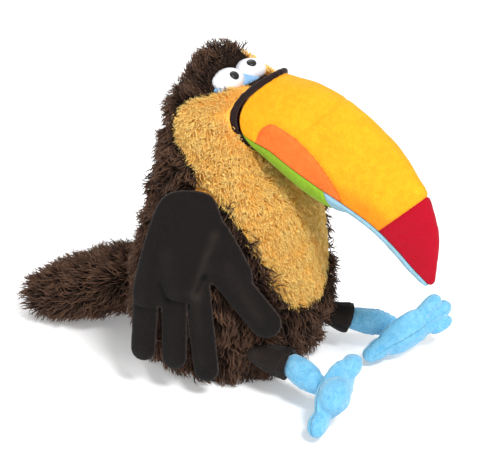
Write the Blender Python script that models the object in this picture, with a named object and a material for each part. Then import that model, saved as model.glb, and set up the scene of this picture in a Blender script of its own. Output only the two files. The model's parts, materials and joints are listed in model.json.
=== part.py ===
"""A seated toucan hand puppet with a moving mouth: one object for each sewn piece.

The puppet faces -Y, its left side is +X and it sits on Z = 0. Every piece hangs from the empty
called seat, which stands where the body's upright axis meets the floor.
"""

import math

import bmesh
import bpy
from mathutils import Matrix, Vector

# Where the body's axis stands, so that the footprint is centred on the world's origin
SEAT_X = 0.0082
SEAT_Y = -0.0035

FIT_GAP = 0.0004  # between two pieces that are sewn edge to edge
SEAM_GAP = 0.0006  # between the two halves of a boolean split
UP = Vector((0.0, 0.0, 1.0))

# Torso: an egg with a flat open bottom
TORSO_TOP = 0.206
TORSO_WALL = 0.004
TORSO_STEPS = 9
TORSO_PROFILE = (  # height, outer radius, centre y
    (0.000, 0.064, 0.013),
    (0.014, 0.079, 0.012),
    (0.040, 0.091, 0.010),
    (0.077, 0.096, 0.007),
    (0.117, 0.093, 0.004),
    (0.150, 0.0875, 0.001),
    (0.178, 0.0825, 0.000),
    (TORSO_TOP, 0.0745, 0.000),
)
TORSO_HEIGHTS = [TORSO_TOP * (i / TORSO_STEPS) ** 1.15 for i in range(TORSO_STEPS + 1)]
BIB_OUTLINE = (  # x and z of the right edge of the yellow belly panel, top to bottom
    (0.0700, 0.240),
    (0.0690, 0.206),
    (0.0660, 0.186),
    (0.0610, 0.160),
    (0.0560, 0.135),
    (0.0480, 0.112),
    (0.0340, 0.093),
    (0.0160, 0.083),
)

# Sleeve for the hand
SLEEVE_RADIUS = 0.045
SLEEVE_TAPER = 0.003
SLEEVE_TOP = 0.150
CLOTH = 0.0015
HEM_WIDTH = 0.011
HEM_HEIGHT = 0.007
PADDING_TOP = 0.138

# Neck: a round cuff about the wrist of the hand inside
NECK_CENTRE = Vector((0.0, 0.0, 0.176))
NECK_RADIUS = 0.070
NECK_WALL = 0.0025
NECK_GAP = 0.0012  # round the cuff, which slides under the head's rim
COLLAR_GAP = 0.0036  # round the cuff, which swings inside the torso's collar
NECK_TOP_ANGLE = math.radians(38)
NECK_BOTTOM_ANGLE = math.radians(92)

# Head sections: height, centre y, half width, half depth
HEAD_WALL = 0.004
HEAD_SECTIONS = (
    (0.224, 0.013, 0.058, 0.051),
    (0.236, 0.014, 0.061, 0.053),
    (0.252, 0.014, 0.061, 0.052),
    (0.270, 0.013, 0.058, 0.050),
    (0.288, 0.012, 0.050, 0.042),
    (0.302, 0.014, 0.042, 0.032),
    (0.315, 0.018, 0.034, 0.025),
    (0.325, 0.018, 0.024, 0.017),
    (0.331, 0.018, 0.012, 0.009),
)
HEAD_TOP = 0.3330
FACE_OUTLINE = (  # y and z of the back edge of the yellow face, bottom to top
    (-0.100, 0.200),
    (0.000, 0.200),
    (0.006, 0.232),
    (0.022, 0.244),
    (0.034, 0.256),
    (0.037, 0.270),
    (0.031, 0.284),
    (0.012, 0.297),
    (-0.010, 0.305),
    (-0.100, 0.320),
)
HAND_LINING = (0.044, 0.034)  # half width, half depth
HAND_CENTRE_Y = 0.010
HAND_TOP = 0.287
FACE_OPENING = (0.041, 0.247, 0.299)  # half width, lowest and highest z
STUFFING_BOTTOM = 0.294

# Eyes
EYE_SIZE = Vector((0.0195, 0.0150, 0.0120))
EYE_CENTRE = Vector((0.0199, -0.0030, 0.3105))
EYE_PATCH_SIZE = Vector((0.0420, 0.0170, 0.0095))
EYE_PATCH_DROP = 0.0060
PUPIL_RADIUS = 0.0055
PUPIL_HEIGHT = 0.0018
PUPIL_AIM = Vector((-0.10, -0.45, 0.89))

# Beak ring, the piping loop at the beak's base, in front view and its dish in side view
RING_HALF_WIDTH = 0.043
RING_CENTRE_Z = 0.281
RING_HALF_HEIGHT = 0.040
RING_SIDE_Y = -0.024
RING_DISH = 0.026
RING_RADIUS = 0.0033
RING_SEAT = 0.0062  # along Y, between the piping's centre and the beak's edge

# Mouth hinge, across the corners of the mouth
MOUTH_HINGE = Vector((0.0, -0.030, 0.267))
BEAK_LIFT = math.radians(14)  # how far the upper half swings up, and the lower half down
JAW_DROP = math.radians(9)
ROOM_DEPTH = 0.0050  # from the piping's centre line back to the face's edge
MOUTH_GAP = 0.0003  # each side of the closed mouth's surface
LINING = 0.0015
PLATE = 0.0010
BEAK_WALL = 0.0032
BEAK_FULLNESS = 0.92

# Lines along the beak, base to tip, as y and z
CULMEN = (
    (-0.054, 0.320),
    (-0.084, 0.318),
    (-0.116, 0.309),
    (-0.148, 0.294),
    (-0.176, 0.275),
    (-0.201, 0.251),
    (-0.220, 0.222),
    (-0.232, 0.188),
    (-0.231, 0.144),
)
TOMIUM = (  # with the half width in front
    (0.0400, -0.036, 0.268),
    (0.0400, -0.060, 0.257),
    (0.0380, -0.088, 0.241),
    (0.0340, -0.118, 0.225),
    (0.0290, -0.145, 0.211),
    (0.0220, -0.171, 0.194),
    (0.0160, -0.193, 0.174),
    (0.0095, -0.210, 0.154),
    (0.0030, -0.224, 0.138),
)
KEEL = (
    (-0.056, 0.243),
    (-0.070, 0.226),
    (-0.097, 0.207),
    (-0.124, 0.199),
    (-0.147, 0.197),
    (-0.168, 0.184),
    (-0.187, 0.166),
    (-0.204, 0.148),
    (-0.219, 0.135),
)
RED_SEAM = ((-0.217, 0.224), (-0.178, 0.187))  # y and z of two points on the seam
GREEN_SEAM = ((-0.118, 0.240), (-0.132, 0.180))
PATCH_OUTLINE = (  # y and z of the orange side patch
    (-0.046, 0.250),
    (-0.050, 0.272),
    (-0.062, 0.283),
    (-0.074, 0.281),
    (-0.096, 0.270),
    (-0.119, 0.250),
    (-0.137, 0.226),
    (-0.142, 0.205),
    (-0.110, 0.205),
)
POCKET_CLOTH = 0.0012
POCKET_GAP = 0.0007  # round a pocket's cloth in the room for it
FILLING_GAP = 0.0014  # between the beak's wall and its filling
FINGER_POCKET = (0.72, 0.50, 9)  # share of the width and height, and how many stations long
THUMB_POCKET = (0.45, 0.66, 5)
POCKET_NOSE = 0.006
POCKET_MOUTH = 2.5  # steps that the room for a pocket runs out behind the beak
PLATE_INSET = 0.003
TIP_NOSE = 0.003
POCKET_FLOOR = 0.0025

# Wings: flat gloves, drawn in their own plane with u forwards and v down
WING_TURNS = {"right": math.radians(22), "left": math.radians(-14)}  # forwards
WING_TILT = math.radians(8.5)
WING_REACH = 0.0915
WING_TOP = 0.195
WING_THICKNESS = 0.012
WING_HINGE_V = -0.018
PILLOW_SECTION = (  # share of the thickness, and how far the outline is drawn in there
    (-0.50, 0.0045),
    (-0.42, 0.0022),
    (-0.22, 0.0005),
    (0.22, 0.0005),
    (0.42, 0.0022),
    (0.50, 0.0045),
)
WING_PALM = (
    (-0.060, -0.012),
    (-0.048, -0.022),
    (-0.024, -0.025),
    (-0.006, -0.021),
    (0.001, -0.006),
    (0.008, 0.014),
    (0.024, 0.044),
    (-0.009, 0.071),
    (-0.016, 0.084),
    (-0.027, 0.092),
    (-0.057, 0.099),
    (-0.087, 0.099),
    (-0.086, 0.076),
    (-0.078, 0.043),
    (-0.068, 0.008),
)
FINGERS = (  # name, base and tip on the centre line, half width
    ("finger_1", (-0.0135, 0.0925), (-0.0070, 0.1740), 0.0125),
    ("finger_2", (-0.0430, 0.1065), (-0.0420, 0.1640), 0.0125),
    ("finger_3", (-0.0735, 0.1075), (-0.0750, 0.1580), 0.0125),
    ("thumb", (0.0135, 0.0650), (0.0610, 0.1180), 0.0150),
)

# Legs: hip, knee and ankle centres, the foot's forward and sole directions, and how far the heel
# and the three toes reach along, across and towards the sole
LEGS = {
    "right": (
        Vector((-0.0700, -0.0720, 0.0460)),
        Vector((-0.0650, -0.1120, 0.0410)),
        Vector((-0.0770, -0.1510, 0.0320)),
        Vector((-0.90, -0.04, -0.41)),
        Vector((-0.20, -0.92, 0.34)),
        ((-0.046, 0.000, 0.0), (0.056, 0.004, 0.0), (0.024, -0.004, 0.016), (0.018, -0.015, 0.0)),
    ),
    "left": (
        Vector((0.0480, -0.0850, 0.0460)),
        Vector((0.0640, -0.1090, 0.0380)),
        Vector((0.0880, -0.1490, 0.0310)),
        Vector((0.78, -0.50, 0.38)),
        Vector((-0.56, -0.82, 0.08)),
        ((-0.054, 0.000, 0.0), (0.052, -0.017, 0.0), (0.058, 0.000, 0.0), (0.050, 0.017, 0.0)),
    ),
}
HIP_RADIUS = 0.0125
CUFF_RADIUS = 0.0172
CUFF_SETBACK = 0.0055  # of the cuff's edge behind the knee's centre
KNEE_RADIUS = 0.0130
KNEE_GAP = 0.0013
SHIN_BULGE = 0.0045
SHIN_WAISTS = 3
ANKLE_RADIUS = 0.0070
FOOT_PALM = Vector((0.038, 0.021, 0.0100))
TOE_RADIUS = 0.0092
TOE_NAMES = ("heel", "inner_toe", "middle_toe", "outer_toe")

# Tail: a flat wedge that droops behind
TAIL_PATH = (
    (0.000, 0.1080, 0.060),
    (-0.008, 0.136, 0.054),
    (-0.020, 0.168, 0.045),
    (-0.034, 0.200, 0.035),
    (-0.048, 0.232, 0.025),
)
TAIL_HALF_WIDTHS = (0.026, 0.040, 0.043, 0.036, 0.017)
TAIL_HALF_HEIGHTS = (0.019, 0.021, 0.019, 0.016, 0.010)
TAIL_HINGE = Vector((0.0, 0.1080, 0.060))
TAIL_STEPS = 9
TAIL_ROOT = 0.5  # size of the blunt root against the first section
TAIL_POINT = 0.006

ROUND = 20  # sides of the torso, neck and head
NECK_STEPS = 5
ARCH = 12  # steps over the beak
STATIONS = 16  # steps along the beak
COVER_STATIONS = 14  # of the beak's covers, which the tips reach past
TIP_START = 5
UPPER_LAYERS = (14, 8, 11)  # stations along the upper lining, plate and filling
LOWER_LAYERS = (16, 6, 8)
RING_STEPS = 16
LIMB_SIDES = 10
TOE_SIDES = 8
BALL_STEPS = 3  # from the pole to the side of a rounded end


def clear_scene():
    for obj in list(bpy.data.objects):
        bpy.data.objects.remove(obj)


def make_material(name, colour, roughness):
    material = bpy.data.materials.new(name)
    material.use_nodes = True
    shader = material.node_tree.nodes["Principled BSDF"]
    shader.inputs["Base Color"].default_value = (*colour, 1.0)
    shader.inputs["Roughness"].default_value = roughness
    shader.inputs["Metallic"].default_value = 0.0
    material.diffuse_color = (*colour, 1.0)
    return material


clear_scene()
seat = bpy.data.objects.new("seat", None)
seat.location = (SEAT_X, SEAT_Y, 0.0)
bpy.context.scene.collection.objects.link(seat)

BROWN_PILE = make_material("brown_pile", (0.045, 0.026, 0.018), 0.95)
YELLOW_PLUSH = make_material("yellow_plush", (0.86, 0.45, 0.08), 0.9)
LINING_CLOTH = make_material("lining_cloth", (0.03, 0.03, 0.032), 0.85)
STUFFING = make_material("stuffing", (0.85, 0.84, 0.80), 0.95)
BEAK_YELLOW = make_material("beak_yellow", (0.98, 0.50, 0.03), 0.8)
BEAK_ORANGE = make_material("beak_orange", (0.90, 0.20, 0.04), 0.8)
BEAK_RED = make_material("beak_red", (0.43, 0.004, 0.020), 0.8)
BEAK_GREEN = make_material("beak_green", (0.29, 0.50, 0.03), 0.8)
BEAK_BLUE = make_material("beak_blue", (0.28, 0.48, 0.62), 0.8)
PIPING = make_material("piping", (0.026, 0.014, 0.013), 0.85)
EYE_WHITE = make_material("eye_white", (0.90, 0.90, 0.93), 0.7)
EYE_BLUE = make_material("eye_blue", (0.35, 0.60, 0.85), 0.85)
PUPIL_BLACK = make_material("pupil_black", (0.010, 0.009, 0.009), 0.6)
WING_BLACK = make_material("wing_black", (0.018, 0.014, 0.013), 0.85)
FOOT_BLUE = make_material("foot_blue", (0.16, 0.48, 0.72), 0.85)
STIFF_PLATE = make_material("stiff_plate", (0.55, 0.52, 0.46), 0.7)


def curve_at(points, share):
    """The point at a share, 0 to 1, of a smooth curve through evenly counted points."""
    last = len(points) - 1
    place = min(max(share, 0.0), 1.0) * last
    index = min(int(place), last - 1)
    t = place - index
    p1, p2 = Vector(points[index]), Vector(points[index + 1])
    p0 = Vector(points[index - 1]) if index > 0 else 2 * p1 - p2
    p3 = Vector(points[index + 2]) if index + 2 <= last else 2 * p2 - p1
    straight = 2 * p1 + (p2 - p0) * t
    bend = (2 * p0 - 5 * p1 + 4 * p2 - p3) * t * t + (3 * p1 - p0 - 3 * p2 + p3) * t * t * t
    return (straight + bend) / 2


def value_at(table, height):
    """The rest of the row of a table at a height, its first column, on a smooth curve."""
    low, high = 0.0, 1.0
    for _ in range(40):
        middle = (low + high) / 2
        if curve_at([row[:1] + (0.0,) for row in table], middle).x < height:
            low = middle
        else:
            high = middle
    padded = [row + (0.0,) * (4 - len(row)) for row in table]
    return tuple(curve_at(padded, low))[1 : len(table[0])]


def add_piece(name, mesh, material, origin=(0.0, 0.0, 0.0)):
    """Links a mesh made in the puppet's frame as an object whose origin is on its joint."""
    origin = Vector(origin)
    mesh.transform(Matrix.Translation(-origin))
    mesh.shade_smooth()
    mesh.set_sharp_from_angle(angle=math.radians(50))
    mesh.materials.append(material)
    obj = bpy.data.objects.new(name, mesh)
    obj.location = origin
    obj.parent = seat
    bpy.context.scene.collection.objects.link(obj)
    return obj


def add_cutter(name, mesh):
    cutter = add_piece(name, mesh, STUFFING)
    cutter.hide_render = True
    cutter.display_type = "WIRE"
    return cutter


def combine(obj, other, operation):
    modifier = obj.modifiers.new(f"{operation.lower()}_{other.name}", "BOOLEAN")
    modifier.operation = operation
    modifier.object = other


def finish(bm, name):
    bmesh.ops.recalc_face_normals(bm, faces=bm.faces)
    mesh = bpy.data.meshes.new(name)
    bm.to_mesh(mesh)
    bm.free()
    return mesh


def skin(bm, rings, loop=True):
    """Quads between each ring of vertices and the next; a ring of one is a pole."""
    for ring, following in zip(rings, rings[1:]):
        count = max(len(ring), len(following))
        for i in range(count if loop else count - 1):
            j = (i + 1) % count
            corners = [ring[i % len(ring)], ring[j % len(ring)]]
            corners += [following[j % len(following)], following[i % len(following)]]
            bm.faces.new(dict.fromkeys(corners))


def solid(name, rings):
    """A closed body through rings of points, with flat ends where a ring is no pole."""
    bm = bmesh.new()
    made = [[bm.verts.new(point) for point in ring] for ring in rings]
    skin(bm, made)
    for end in (made[0], made[-1]):
        if len(end) > 2:
            bm.faces.new(end)
    return finish(bm, name)


def hollow(name, outer, inner):
    """A wall between outer and inner rings, joined at each end that isn't a pole."""
    bm = bmesh.new()
    out = [[bm.verts.new(point) for point in ring] for ring in outer]
    back = [[bm.verts.new(point) for point in ring] for ring in inner]
    skin(bm, out)
    skin(bm, back)
    for first, second in ((out[0], back[0]), (out[-1], back[-1])):
        if len(first) > 1:
            skin(bm, [first, second])
    return finish(bm, name)


def thick_sheet(name, outer, inner):
    """A wall between two open grids of points, closed along its four edges."""
    bm = bmesh.new()
    out = [[bm.verts.new(point) for point in row] for row in outer]
    back = [[bm.verts.new(point) for point in row] for row in inner]
    skin(bm, out, loop=False)
    skin(bm, back, loop=False)
    for first, second in ((out[0], back[0]), (out[-1], back[-1])):
        skin(bm, [first, second], loop=False)
    for column in (0, -1):
        skin(bm, [[row[column] for row in out], [row[column] for row in back]], loop=False)
    return finish(bm, name)


def ellipse_ring(centre, half_x, half_y, count=ROUND):
    angles = (math.tau * i / count for i in range(count))
    return [centre + Vector((half_x * math.sin(a), -half_y * math.cos(a), 0.0)) for a in angles]


def round_ring(centre, radius):
    return ellipse_ring(centre, radius, radius)


def turned(name, profile, axis=lambda z: Vector((0.0, 0.0, z))):
    """A ring with the closed profile (radius, height) turned about an axis that may lean."""
    bm = bmesh.new()
    rings = [round_ring(axis(z), r) for r, z in profile]
    made = [[bm.verts.new(point) for point in ring] for ring in rings]
    skin(bm, made + made[:1])
    return finish(bm, name)


def ellipsoid(name, centre, size, across=16, down=9, turn=Matrix.Identity(3)):
    bm = bmesh.new()
    bmesh.ops.create_uvsphere(bm, u_segments=across, v_segments=down, radius=1.0)
    place = Matrix.Translation(centre) @ turn.to_4x4() @ Matrix.Diagonal((*size, 1.0))
    bmesh.ops.transform(bm, matrix=place, verts=bm.verts)
    return finish(bm, name)


def prism(name, outline, low, high, to_point):
    """An outline pushed from low to high; to_point places (first, second, depth)."""
    rings = [[to_point(a, b, depth) for a, b in outline] for depth in (low, high)]
    return solid(name, rings)


def grown(outline, distance):
    """The outline moved outwards by a distance, corner by corner."""
    points = [Vector(point) for point in outline]
    area = sum(a.x * b.y - b.x * a.y for a, b in zip(points, points[1:] + points[:1]))
    side = 1.0 if area > 0 else -1.0
    moved = []
    for before, point, after in zip(points[-1:] + points, points, points[1:] + points[:1]):
        first, second = (point - before).normalized(), (after - point).normalized()
        normal = Vector((first.y + second.y, -first.x - second.x)).normalized() * side
        corner = max(0.5, math.sqrt((1 + first.dot(second)) / 2))
        moved.append(tuple(point + normal * distance / corner))
    return moved


def sweep(name, points, half_widths, half_heights, count=LIMB_SIDES, side=UP):
    """A closed body along a path, with elliptical sections and rounded ends."""
    steps = len(points) - 1
    rings = []
    for i, point in enumerate(points):
        along = (points[min(i + 1, steps)] - points[max(i - 1, 0)]).normalized()
        across = along.cross(side).normalized()
        up = across.cross(along)
        ring = []
        for k in range(count):
            angle = math.tau * k / count
            x, y = half_widths[i] * math.cos(angle), half_heights[i] * math.sin(angle)
            ring.append(point + across * x + up * y)
        rings.append(ring)
    return solid(name, [[points[0]]] + rings[1:-1] + [[points[-1]]])


def rounded_bar(name, start, end, first, last, bulge, waists, count=LIMB_SIDES, side=UP):
    """A bar between two ball centres, each end a half ball, fuller in the middle by bulge."""
    along = (end - start).normalized()
    length = (end - start).length
    points, radii = [], []
    for k in range(BALL_STEPS + 1):
        angle = math.pi / 2 * k / BALL_STEPS
        points.append(start - along * first * math.cos(angle))
        radii.append(first * math.sin(angle))
    for k in range(1, waists + 1):
        share = k / (waists + 1)
        points.append(start + along * length * share)
        radii.append(first + (last - first) * share + bulge * math.sin(math.pi * share))
    for k in range(BALL_STEPS + 1):
        angle = math.pi / 2 * (1 - k / BALL_STEPS)
        points.append(end + along * last * math.cos(angle))
        radii.append(last * math.sin(angle))
    return sweep(name, points, radii, radii, count, side)


def neck_sphere_radius(height):
    rise = height - NECK_CENTRE.z
    return math.sqrt(max(NECK_RADIUS**2 - rise**2, 0.0))


def torso_radius(height):
    return value_at(TORSO_PROFILE, height)[0]


def torso_centre(height):
    return Vector((0.0, value_at(TORSO_PROFILE, height)[1], height))


def torso_inner_radius(height):
    """The wall's inner side, which thickens into a padded collar round the neck cuff."""
    plain = torso_radius(height) - TORSO_WALL
    collar = neck_sphere_radius(height) + COLLAR_GAP
    start, full = SLEEVE_TOP, NECK_CENTRE.z
    share = min(max((height - start) / (full - start), 0.0), 1.0)
    return plain + (min(collar, plain) - plain) * share


def build_torso():
    heights = TORSO_HEIGHTS
    outer = [round_ring(torso_centre(z), torso_radius(z)) for z in heights]
    inner = [round_ring(torso_centre(z), torso_inner_radius(z)) for z in heights]
    outline = list(BIB_OUTLINE) + [(-x, z) for x, z in reversed(BIB_OUTLINE)]
    front = (-0.2, 0.0)

    def in_front(x, z, y):
        return Vector((x, y, z))

    cover = add_piece("torso_cover", hollow("torso_cover", outer, inner), BROWN_PILE)
    wide = prism("bib_hole", grown(outline, SEAM_GAP), *front, in_front)
    combine(cover, add_cutter("bib_hole", wide), "DIFFERENCE")
    panel = add_piece("belly_panel", hollow("belly_panel", outer, inner), YELLOW_PLUSH)
    combine(panel, add_cutter("bib_shape", prism("bib_shape", outline, *front, in_front)), "INTERSECT")

    hem_inner = SLEEVE_RADIUS
    hem_outer = SLEEVE_RADIUS + HEM_WIDTH
    edge = HEM_HEIGHT / 4
    hem = (
        (hem_inner, edge),
        (hem_inner + edge, 0.0),
        (hem_outer - edge, 0.0),
        (hem_outer, edge),
        (hem_outer, HEM_HEIGHT - edge),
        (hem_outer - edge, HEM_HEIGHT),
        (hem_inner + edge, HEM_HEIGHT),
        (hem_inner, HEM_HEIGHT - edge),
    )
    mesh = turned("hem_binding", hem, lambda z: torso_centre(0.0) + Vector((0.0, 0.0, z)))
    add_piece("hem_binding", mesh, LINING_CLOTH)

    low = HEM_HEIGHT + FIT_GAP
    steps = [low + (SLEEVE_TOP - low) * i / 4 for i in range(5)]

    def sleeve(z):
        return SLEEVE_RADIUS - SLEEVE_TAPER * (z - low) / (SLEEVE_TOP - low)

    lining = [(sleeve(z) + CLOTH, z) for z in steps] + [(sleeve(z), z) for z in reversed(steps)]
    add_piece("body_lining", turned("body_lining", lining, torso_centre), LINING_CLOTH)

    heights = [z for z in TORSO_HEIGHTS if low + FIT_GAP < z < PADDING_TOP]
    outside = [(torso_inner_radius(z) - SEAM_GAP - FIT_GAP, z) for z in heights]
    inside = [(sleeve(z) + CLOTH + FIT_GAP, z) for z in reversed(heights)]
    add_piece("torso_padding", turned("torso_padding", outside + inside, torso_centre), STUFFING)


def arc_band(outer, inner, first, last):
    angles = [first + (last - first) * i / NECK_STEPS for i in range(NECK_STEPS + 1)]
    outside = [(outer * math.sin(a), outer * math.cos(a)) for a in angles]
    inside = [(inner * math.sin(a), inner * math.cos(a)) for a in reversed(angles)]
    return outside + inside


def build_neck():
    cuff = arc_band(NECK_RADIUS, NECK_RADIUS - NECK_WALL, NECK_TOP_ANGLE, NECK_BOTTOM_ANGLE)
    mesh = turned("neck_cuff", cuff, lambda z: NECK_CENTRE + Vector((0, 0, z)))
    add_piece("neck_cuff", mesh, BROWN_PILE, NECK_CENTRE)
    outer = NECK_RADIUS - NECK_WALL - FIT_GAP
    inside = math.radians(3)
    lining = arc_band(outer, outer - CLOTH, NECK_TOP_ANGLE + inside, NECK_BOTTOM_ANGLE - inside)
    mesh = turned("neck_lining", lining, lambda z: NECK_CENTRE + Vector((0, 0, z)))
    add_piece("neck_lining", mesh, LINING_CLOTH, NECK_CENTRE)


def head_rings(inset, bottom=0.0):
    """Sections of the head, all moved inwards by inset, from a lowest height up to the pole."""
    rows = [row for row in HEAD_SECTIONS if row[0] > bottom + 0.004]
    start = max(bottom, HEAD_SECTIONS[0][0])
    heights = [start] + [row[0] for row in rows if row[0] > start]
    rings = []
    for height in heights:
        y, half_x, half_y = value_at(HEAD_SECTIONS, height)
        # near the crown the wall leans over, so its inner rings drop as well as shrink
        drop = inset * (height - HEAD_SECTIONS[0][0]) / (HEAD_TOP - HEAD_SECTIONS[0][0])
        centre = Vector((0.0, y, height - drop))
        rings.append(ellipse_ring(centre, half_x - inset, half_y - inset))
    rings.append([Vector((0.0, HEAD_SECTIONS[-1][1], HEAD_TOP - inset))])
    return rings


def build_head():
    def beside(y, z, x):
        return Vector((x, y, z))

    def endways(x, z, y):
        return Vector((x, y, z))

    width = (-0.09, 0.09)
    face_shape = add_cutter("face_shape", prism("face_shape", FACE_OUTLINE, *width, beside))
    hole = prism("face_hole", grown(FACE_OUTLINE, SEAM_GAP), *width, beside)
    face_hole = add_cutter("face_hole", hole)
    reach = Vector((1, 1, 1)) * (NECK_RADIUS + NECK_GAP)
    neck_room = add_cutter("neck_room", ellipsoid("neck_room", NECK_CENTRE, reach, ROUND, 16))
    half, low, high = FACE_OPENING
    angles = [math.tau * i / ROUND for i in range(ROUND)]
    tall = (high - low) / 2
    opening = [(half * math.cos(a), low + tall + tall * math.sin(a)) for a in angles]
    mouth = add_cutter("face_opening", prism("face_opening", opening, -0.08, HAND_CENTRE_Y, endways))

    grow = Vector((1, 1, 1)) * SEAM_GAP
    patch_centre = Vector((0.0, EYE_CENTRE.y, EYE_CENTRE.z - EYE_PATCH_DROP))
    socket = ellipsoid("eye_socket", patch_centre, EYE_PATCH_SIZE + grow)
    eye_socket = add_cutter("eye_socket", socket)
    eye_rooms = {}
    for side, sign in (("right", -1), ("left", 1)):
        centre = Vector((sign * EYE_CENTRE.x, EYE_CENTRE.y, EYE_CENTRE.z))
        room = ellipsoid(f"{side}_eye_room", centre, EYE_SIZE + grow / 2)
        eye_rooms[side] = add_cutter(f"{side}_eye_room", room)
        combine(eye_socket, eye_rooms[side], "UNION")

    wall = (head_rings(0.0), head_rings(HEAD_WALL))
    cover = add_piece("head_cover", hollow("head_cover", *wall), BROWN_PILE)
    combine(cover, face_hole, "DIFFERENCE")
    face = add_piece("face_panel", hollow("face_panel", *wall), YELLOW_PLUSH)
    combine(face, face_shape, "INTERSECT")
    combine(face, mouth, "DIFFERENCE")
    combine(face, add_cutter("beak_room", prism("beak_room", beak_room(), *width, beside)), "DIFFERENCE")
    inset = HEAD_WALL + 2 * SEAM_GAP
    filling = solid("head_stuffing", head_rings(inset, STUFFING_BOTTOM))
    stuffing = add_piece("head_stuffing", filling, STUFFING)
    for piece in (cover, face):
        combine(piece, neck_room, "DIFFERENCE")
    for piece in (cover, face, stuffing):
        combine(piece, eye_socket, "DIFFERENCE")

    patch = add_piece("eye_patch", ellipsoid("eye_patch", patch_centre, EYE_PATCH_SIZE), EYE_BLUE)
    for side, sign in (("right", -1), ("left", 1)):
        combine(patch, eye_rooms[side], "DIFFERENCE")
        centre = Vector((sign * EYE_CENTRE.x, EYE_CENTRE.y, EYE_CENTRE.z))
        add_piece(f"{side}_eye", ellipsoid(f"{side}_eye", centre, EYE_SIZE), EYE_WHITE)
        aim = Vector((sign * PUPIL_AIM.x, PUPIL_AIM.y, PUPIL_AIM.z)).normalized()
        reach = Vector([a * s * s for a, s in zip(aim, EYE_SIZE)])
        spot = centre + reach / math.sqrt(sum((a * s) ** 2 for a, s in zip(aim, EYE_SIZE)))
        turn = aim.to_track_quat("Z", "Y").to_matrix()
        size = Vector((PUPIL_RADIUS, PUPIL_RADIUS, PUPIL_HEIGHT))
        name = f"{side}_pupil"
        pupil = add_piece(name, ellipsoid(name, spot, size, 12, 6, turn), PUPIL_BLACK)
        combine(pupil, eye_rooms[side], "DIFFERENCE")

    low = NECK_CENTRE.z + NECK_RADIUS * math.cos(NECK_TOP_ANGLE) + FIT_GAP + 0.001
    half_x, half_y = HAND_LINING

    def sack(inset):
        rings = []
        for z in (low, low + (HAND_TOP - low) * 0.5, low + (HAND_TOP - low) * 0.8):
            rings.append(ellipse_ring(Vector((0, HAND_CENTRE_Y, z)), half_x - inset, half_y - inset))
        for share, height in ((0.86, 0.94), (0.5, 0.995)):
            z = low + (HAND_TOP - low - inset) * height
            rings.append(ellipse_ring(Vector((0, HAND_CENTRE_Y, z)), share * half_x, share * half_y))
        rings.append([Vector((0, HAND_CENTRE_Y, HAND_TOP - inset))])
        return rings

    lining = add_piece("head_lining", hollow("head_lining", sack(0.0), sack(CLOTH)), LINING_CLOTH)
    reach = [(x * 0.75, low + 0.006 + (z - low - 0.006) * 0.8) for x, z in opening if z > low]
    gap = prism("lining_gap", reach, -0.08, HAND_CENTRE_Y, endways)
    combine(lining, add_cutter("lining_gap", gap), "DIFFERENCE")


def ring_point(angle, half_width=RING_HALF_WIDTH, half_height=RING_HALF_HEIGHT):
    """The piping's centre line: angle 0 is the top, and it runs towards the puppet's left."""
    rise = math.cos(angle)
    y = RING_SIDE_Y - RING_DISH * rise * rise
    return Vector((half_width * math.sin(angle), y, RING_CENTRE_Z + half_height * rise))


def ring_y(height):
    rise = (height - RING_CENTRE_Z) / RING_HALF_HEIGHT
    return RING_SIDE_Y - RING_DISH * rise * rise


def beak_room():
    """In side view, all that the piping sweeps as both halves of the beak open."""
    low, high = RING_CENTRE_Z - RING_HALF_HEIGHT, RING_CENTRE_Z + RING_HALF_HEIGHT
    line = [(-0.12, low - RING_SEAT)]
    for i in range(13):
        z = low - RING_SEAT + (high - low + 2 * RING_SEAT) * i / 12
        swing = math.tan(BEAK_LIFT if z > MOUTH_HINGE.z else JAW_DROP)
        y = ring_y(min(max(z, low), high)) + ROOM_DEPTH + abs(z - MOUTH_HINGE.z) * swing
        line.append((y, z))
    return line + [(-0.12, high + RING_SEAT)]


def mouth_frame(share):
    """The middle of the mouth's surface at a share of the beak, its normal and half width."""
    half, y, z = curve_at(TOMIUM, share)
    before, after = curve_at(TOMIUM, share - 0.02), curve_at(TOMIUM, share + 0.02)
    along = Vector((0.0, after.y - before.y, after.z - before.z)).normalized()
    return Vector((0.0, y, z)), Vector((0.0, along.z, -along.y)), half


def beak_point(share, angle, half_beak, floor=0.0, inset=0.0, scale=(1.0, 1.0)):
    """A point of an arch from one side of the mouth (angle 0) over the ridge to the other.

    Nothing comes nearer the mouth's surface than floor.
    """
    ridge, way = half_beak
    surface, normal, half = mouth_frame(share)
    normal = normal * way
    crest = Vector((0.0, *curve_at(ridge, share)))
    middle = surface + normal * MOUTH_GAP
    rise = crest - middle
    tall = max(rise.length - inset, 0.0008) * scale[1]
    wide = max(half - inset, 0.0008) * scale[0]
    cosine, sine = math.cos(angle), max(math.sin(angle), 0.0)
    x = math.copysign(abs(cosine) ** BEAK_FULLNESS, cosine) * wide
    point = middle + rise.normalized() * tall * sine**BEAK_FULLNESS
    height = (point - surface).dot(normal)
    point += normal * max(floor - height, 0.0)
    point.x = x
    near = max(1.0 - share / 0.16, 0.0)
    point.y += (ring_y(point.z) - RING_SEAT - point.y) * near * near * (3 - 2 * near)
    return point


def beak_grid(half_beak, floor, inset, shares):
    angles = [math.pi * i / ARCH for i in range(ARCH + 1)]
    return [[beak_point(s, a, half_beak, floor, inset) for a in angles] for s in shares]


def beak_sheet(name, low, high, inset, shares):
    """A flat layer along the mouth, between two heights over the mouth's surface."""

    def rows(lift):
        made = []
        for share in shares:
            middle, normal, half = mouth_frame(share)
            wide = max(half - inset, 0.001)
            row = [middle + normal * lift + Vector((wide * x, 0, 0)) for x in (-1, -0.5, 0, 0.5, 1)]
            for point in row:
                near = max(1.0 - share / 0.16, 0.0)
                point.y += (ring_y(point.z) - RING_SEAT - point.y) * near * near * (3 - 2 * near)
            made.append(row)
        return made

    return thick_sheet(name, rows(high), rows(low))


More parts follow.
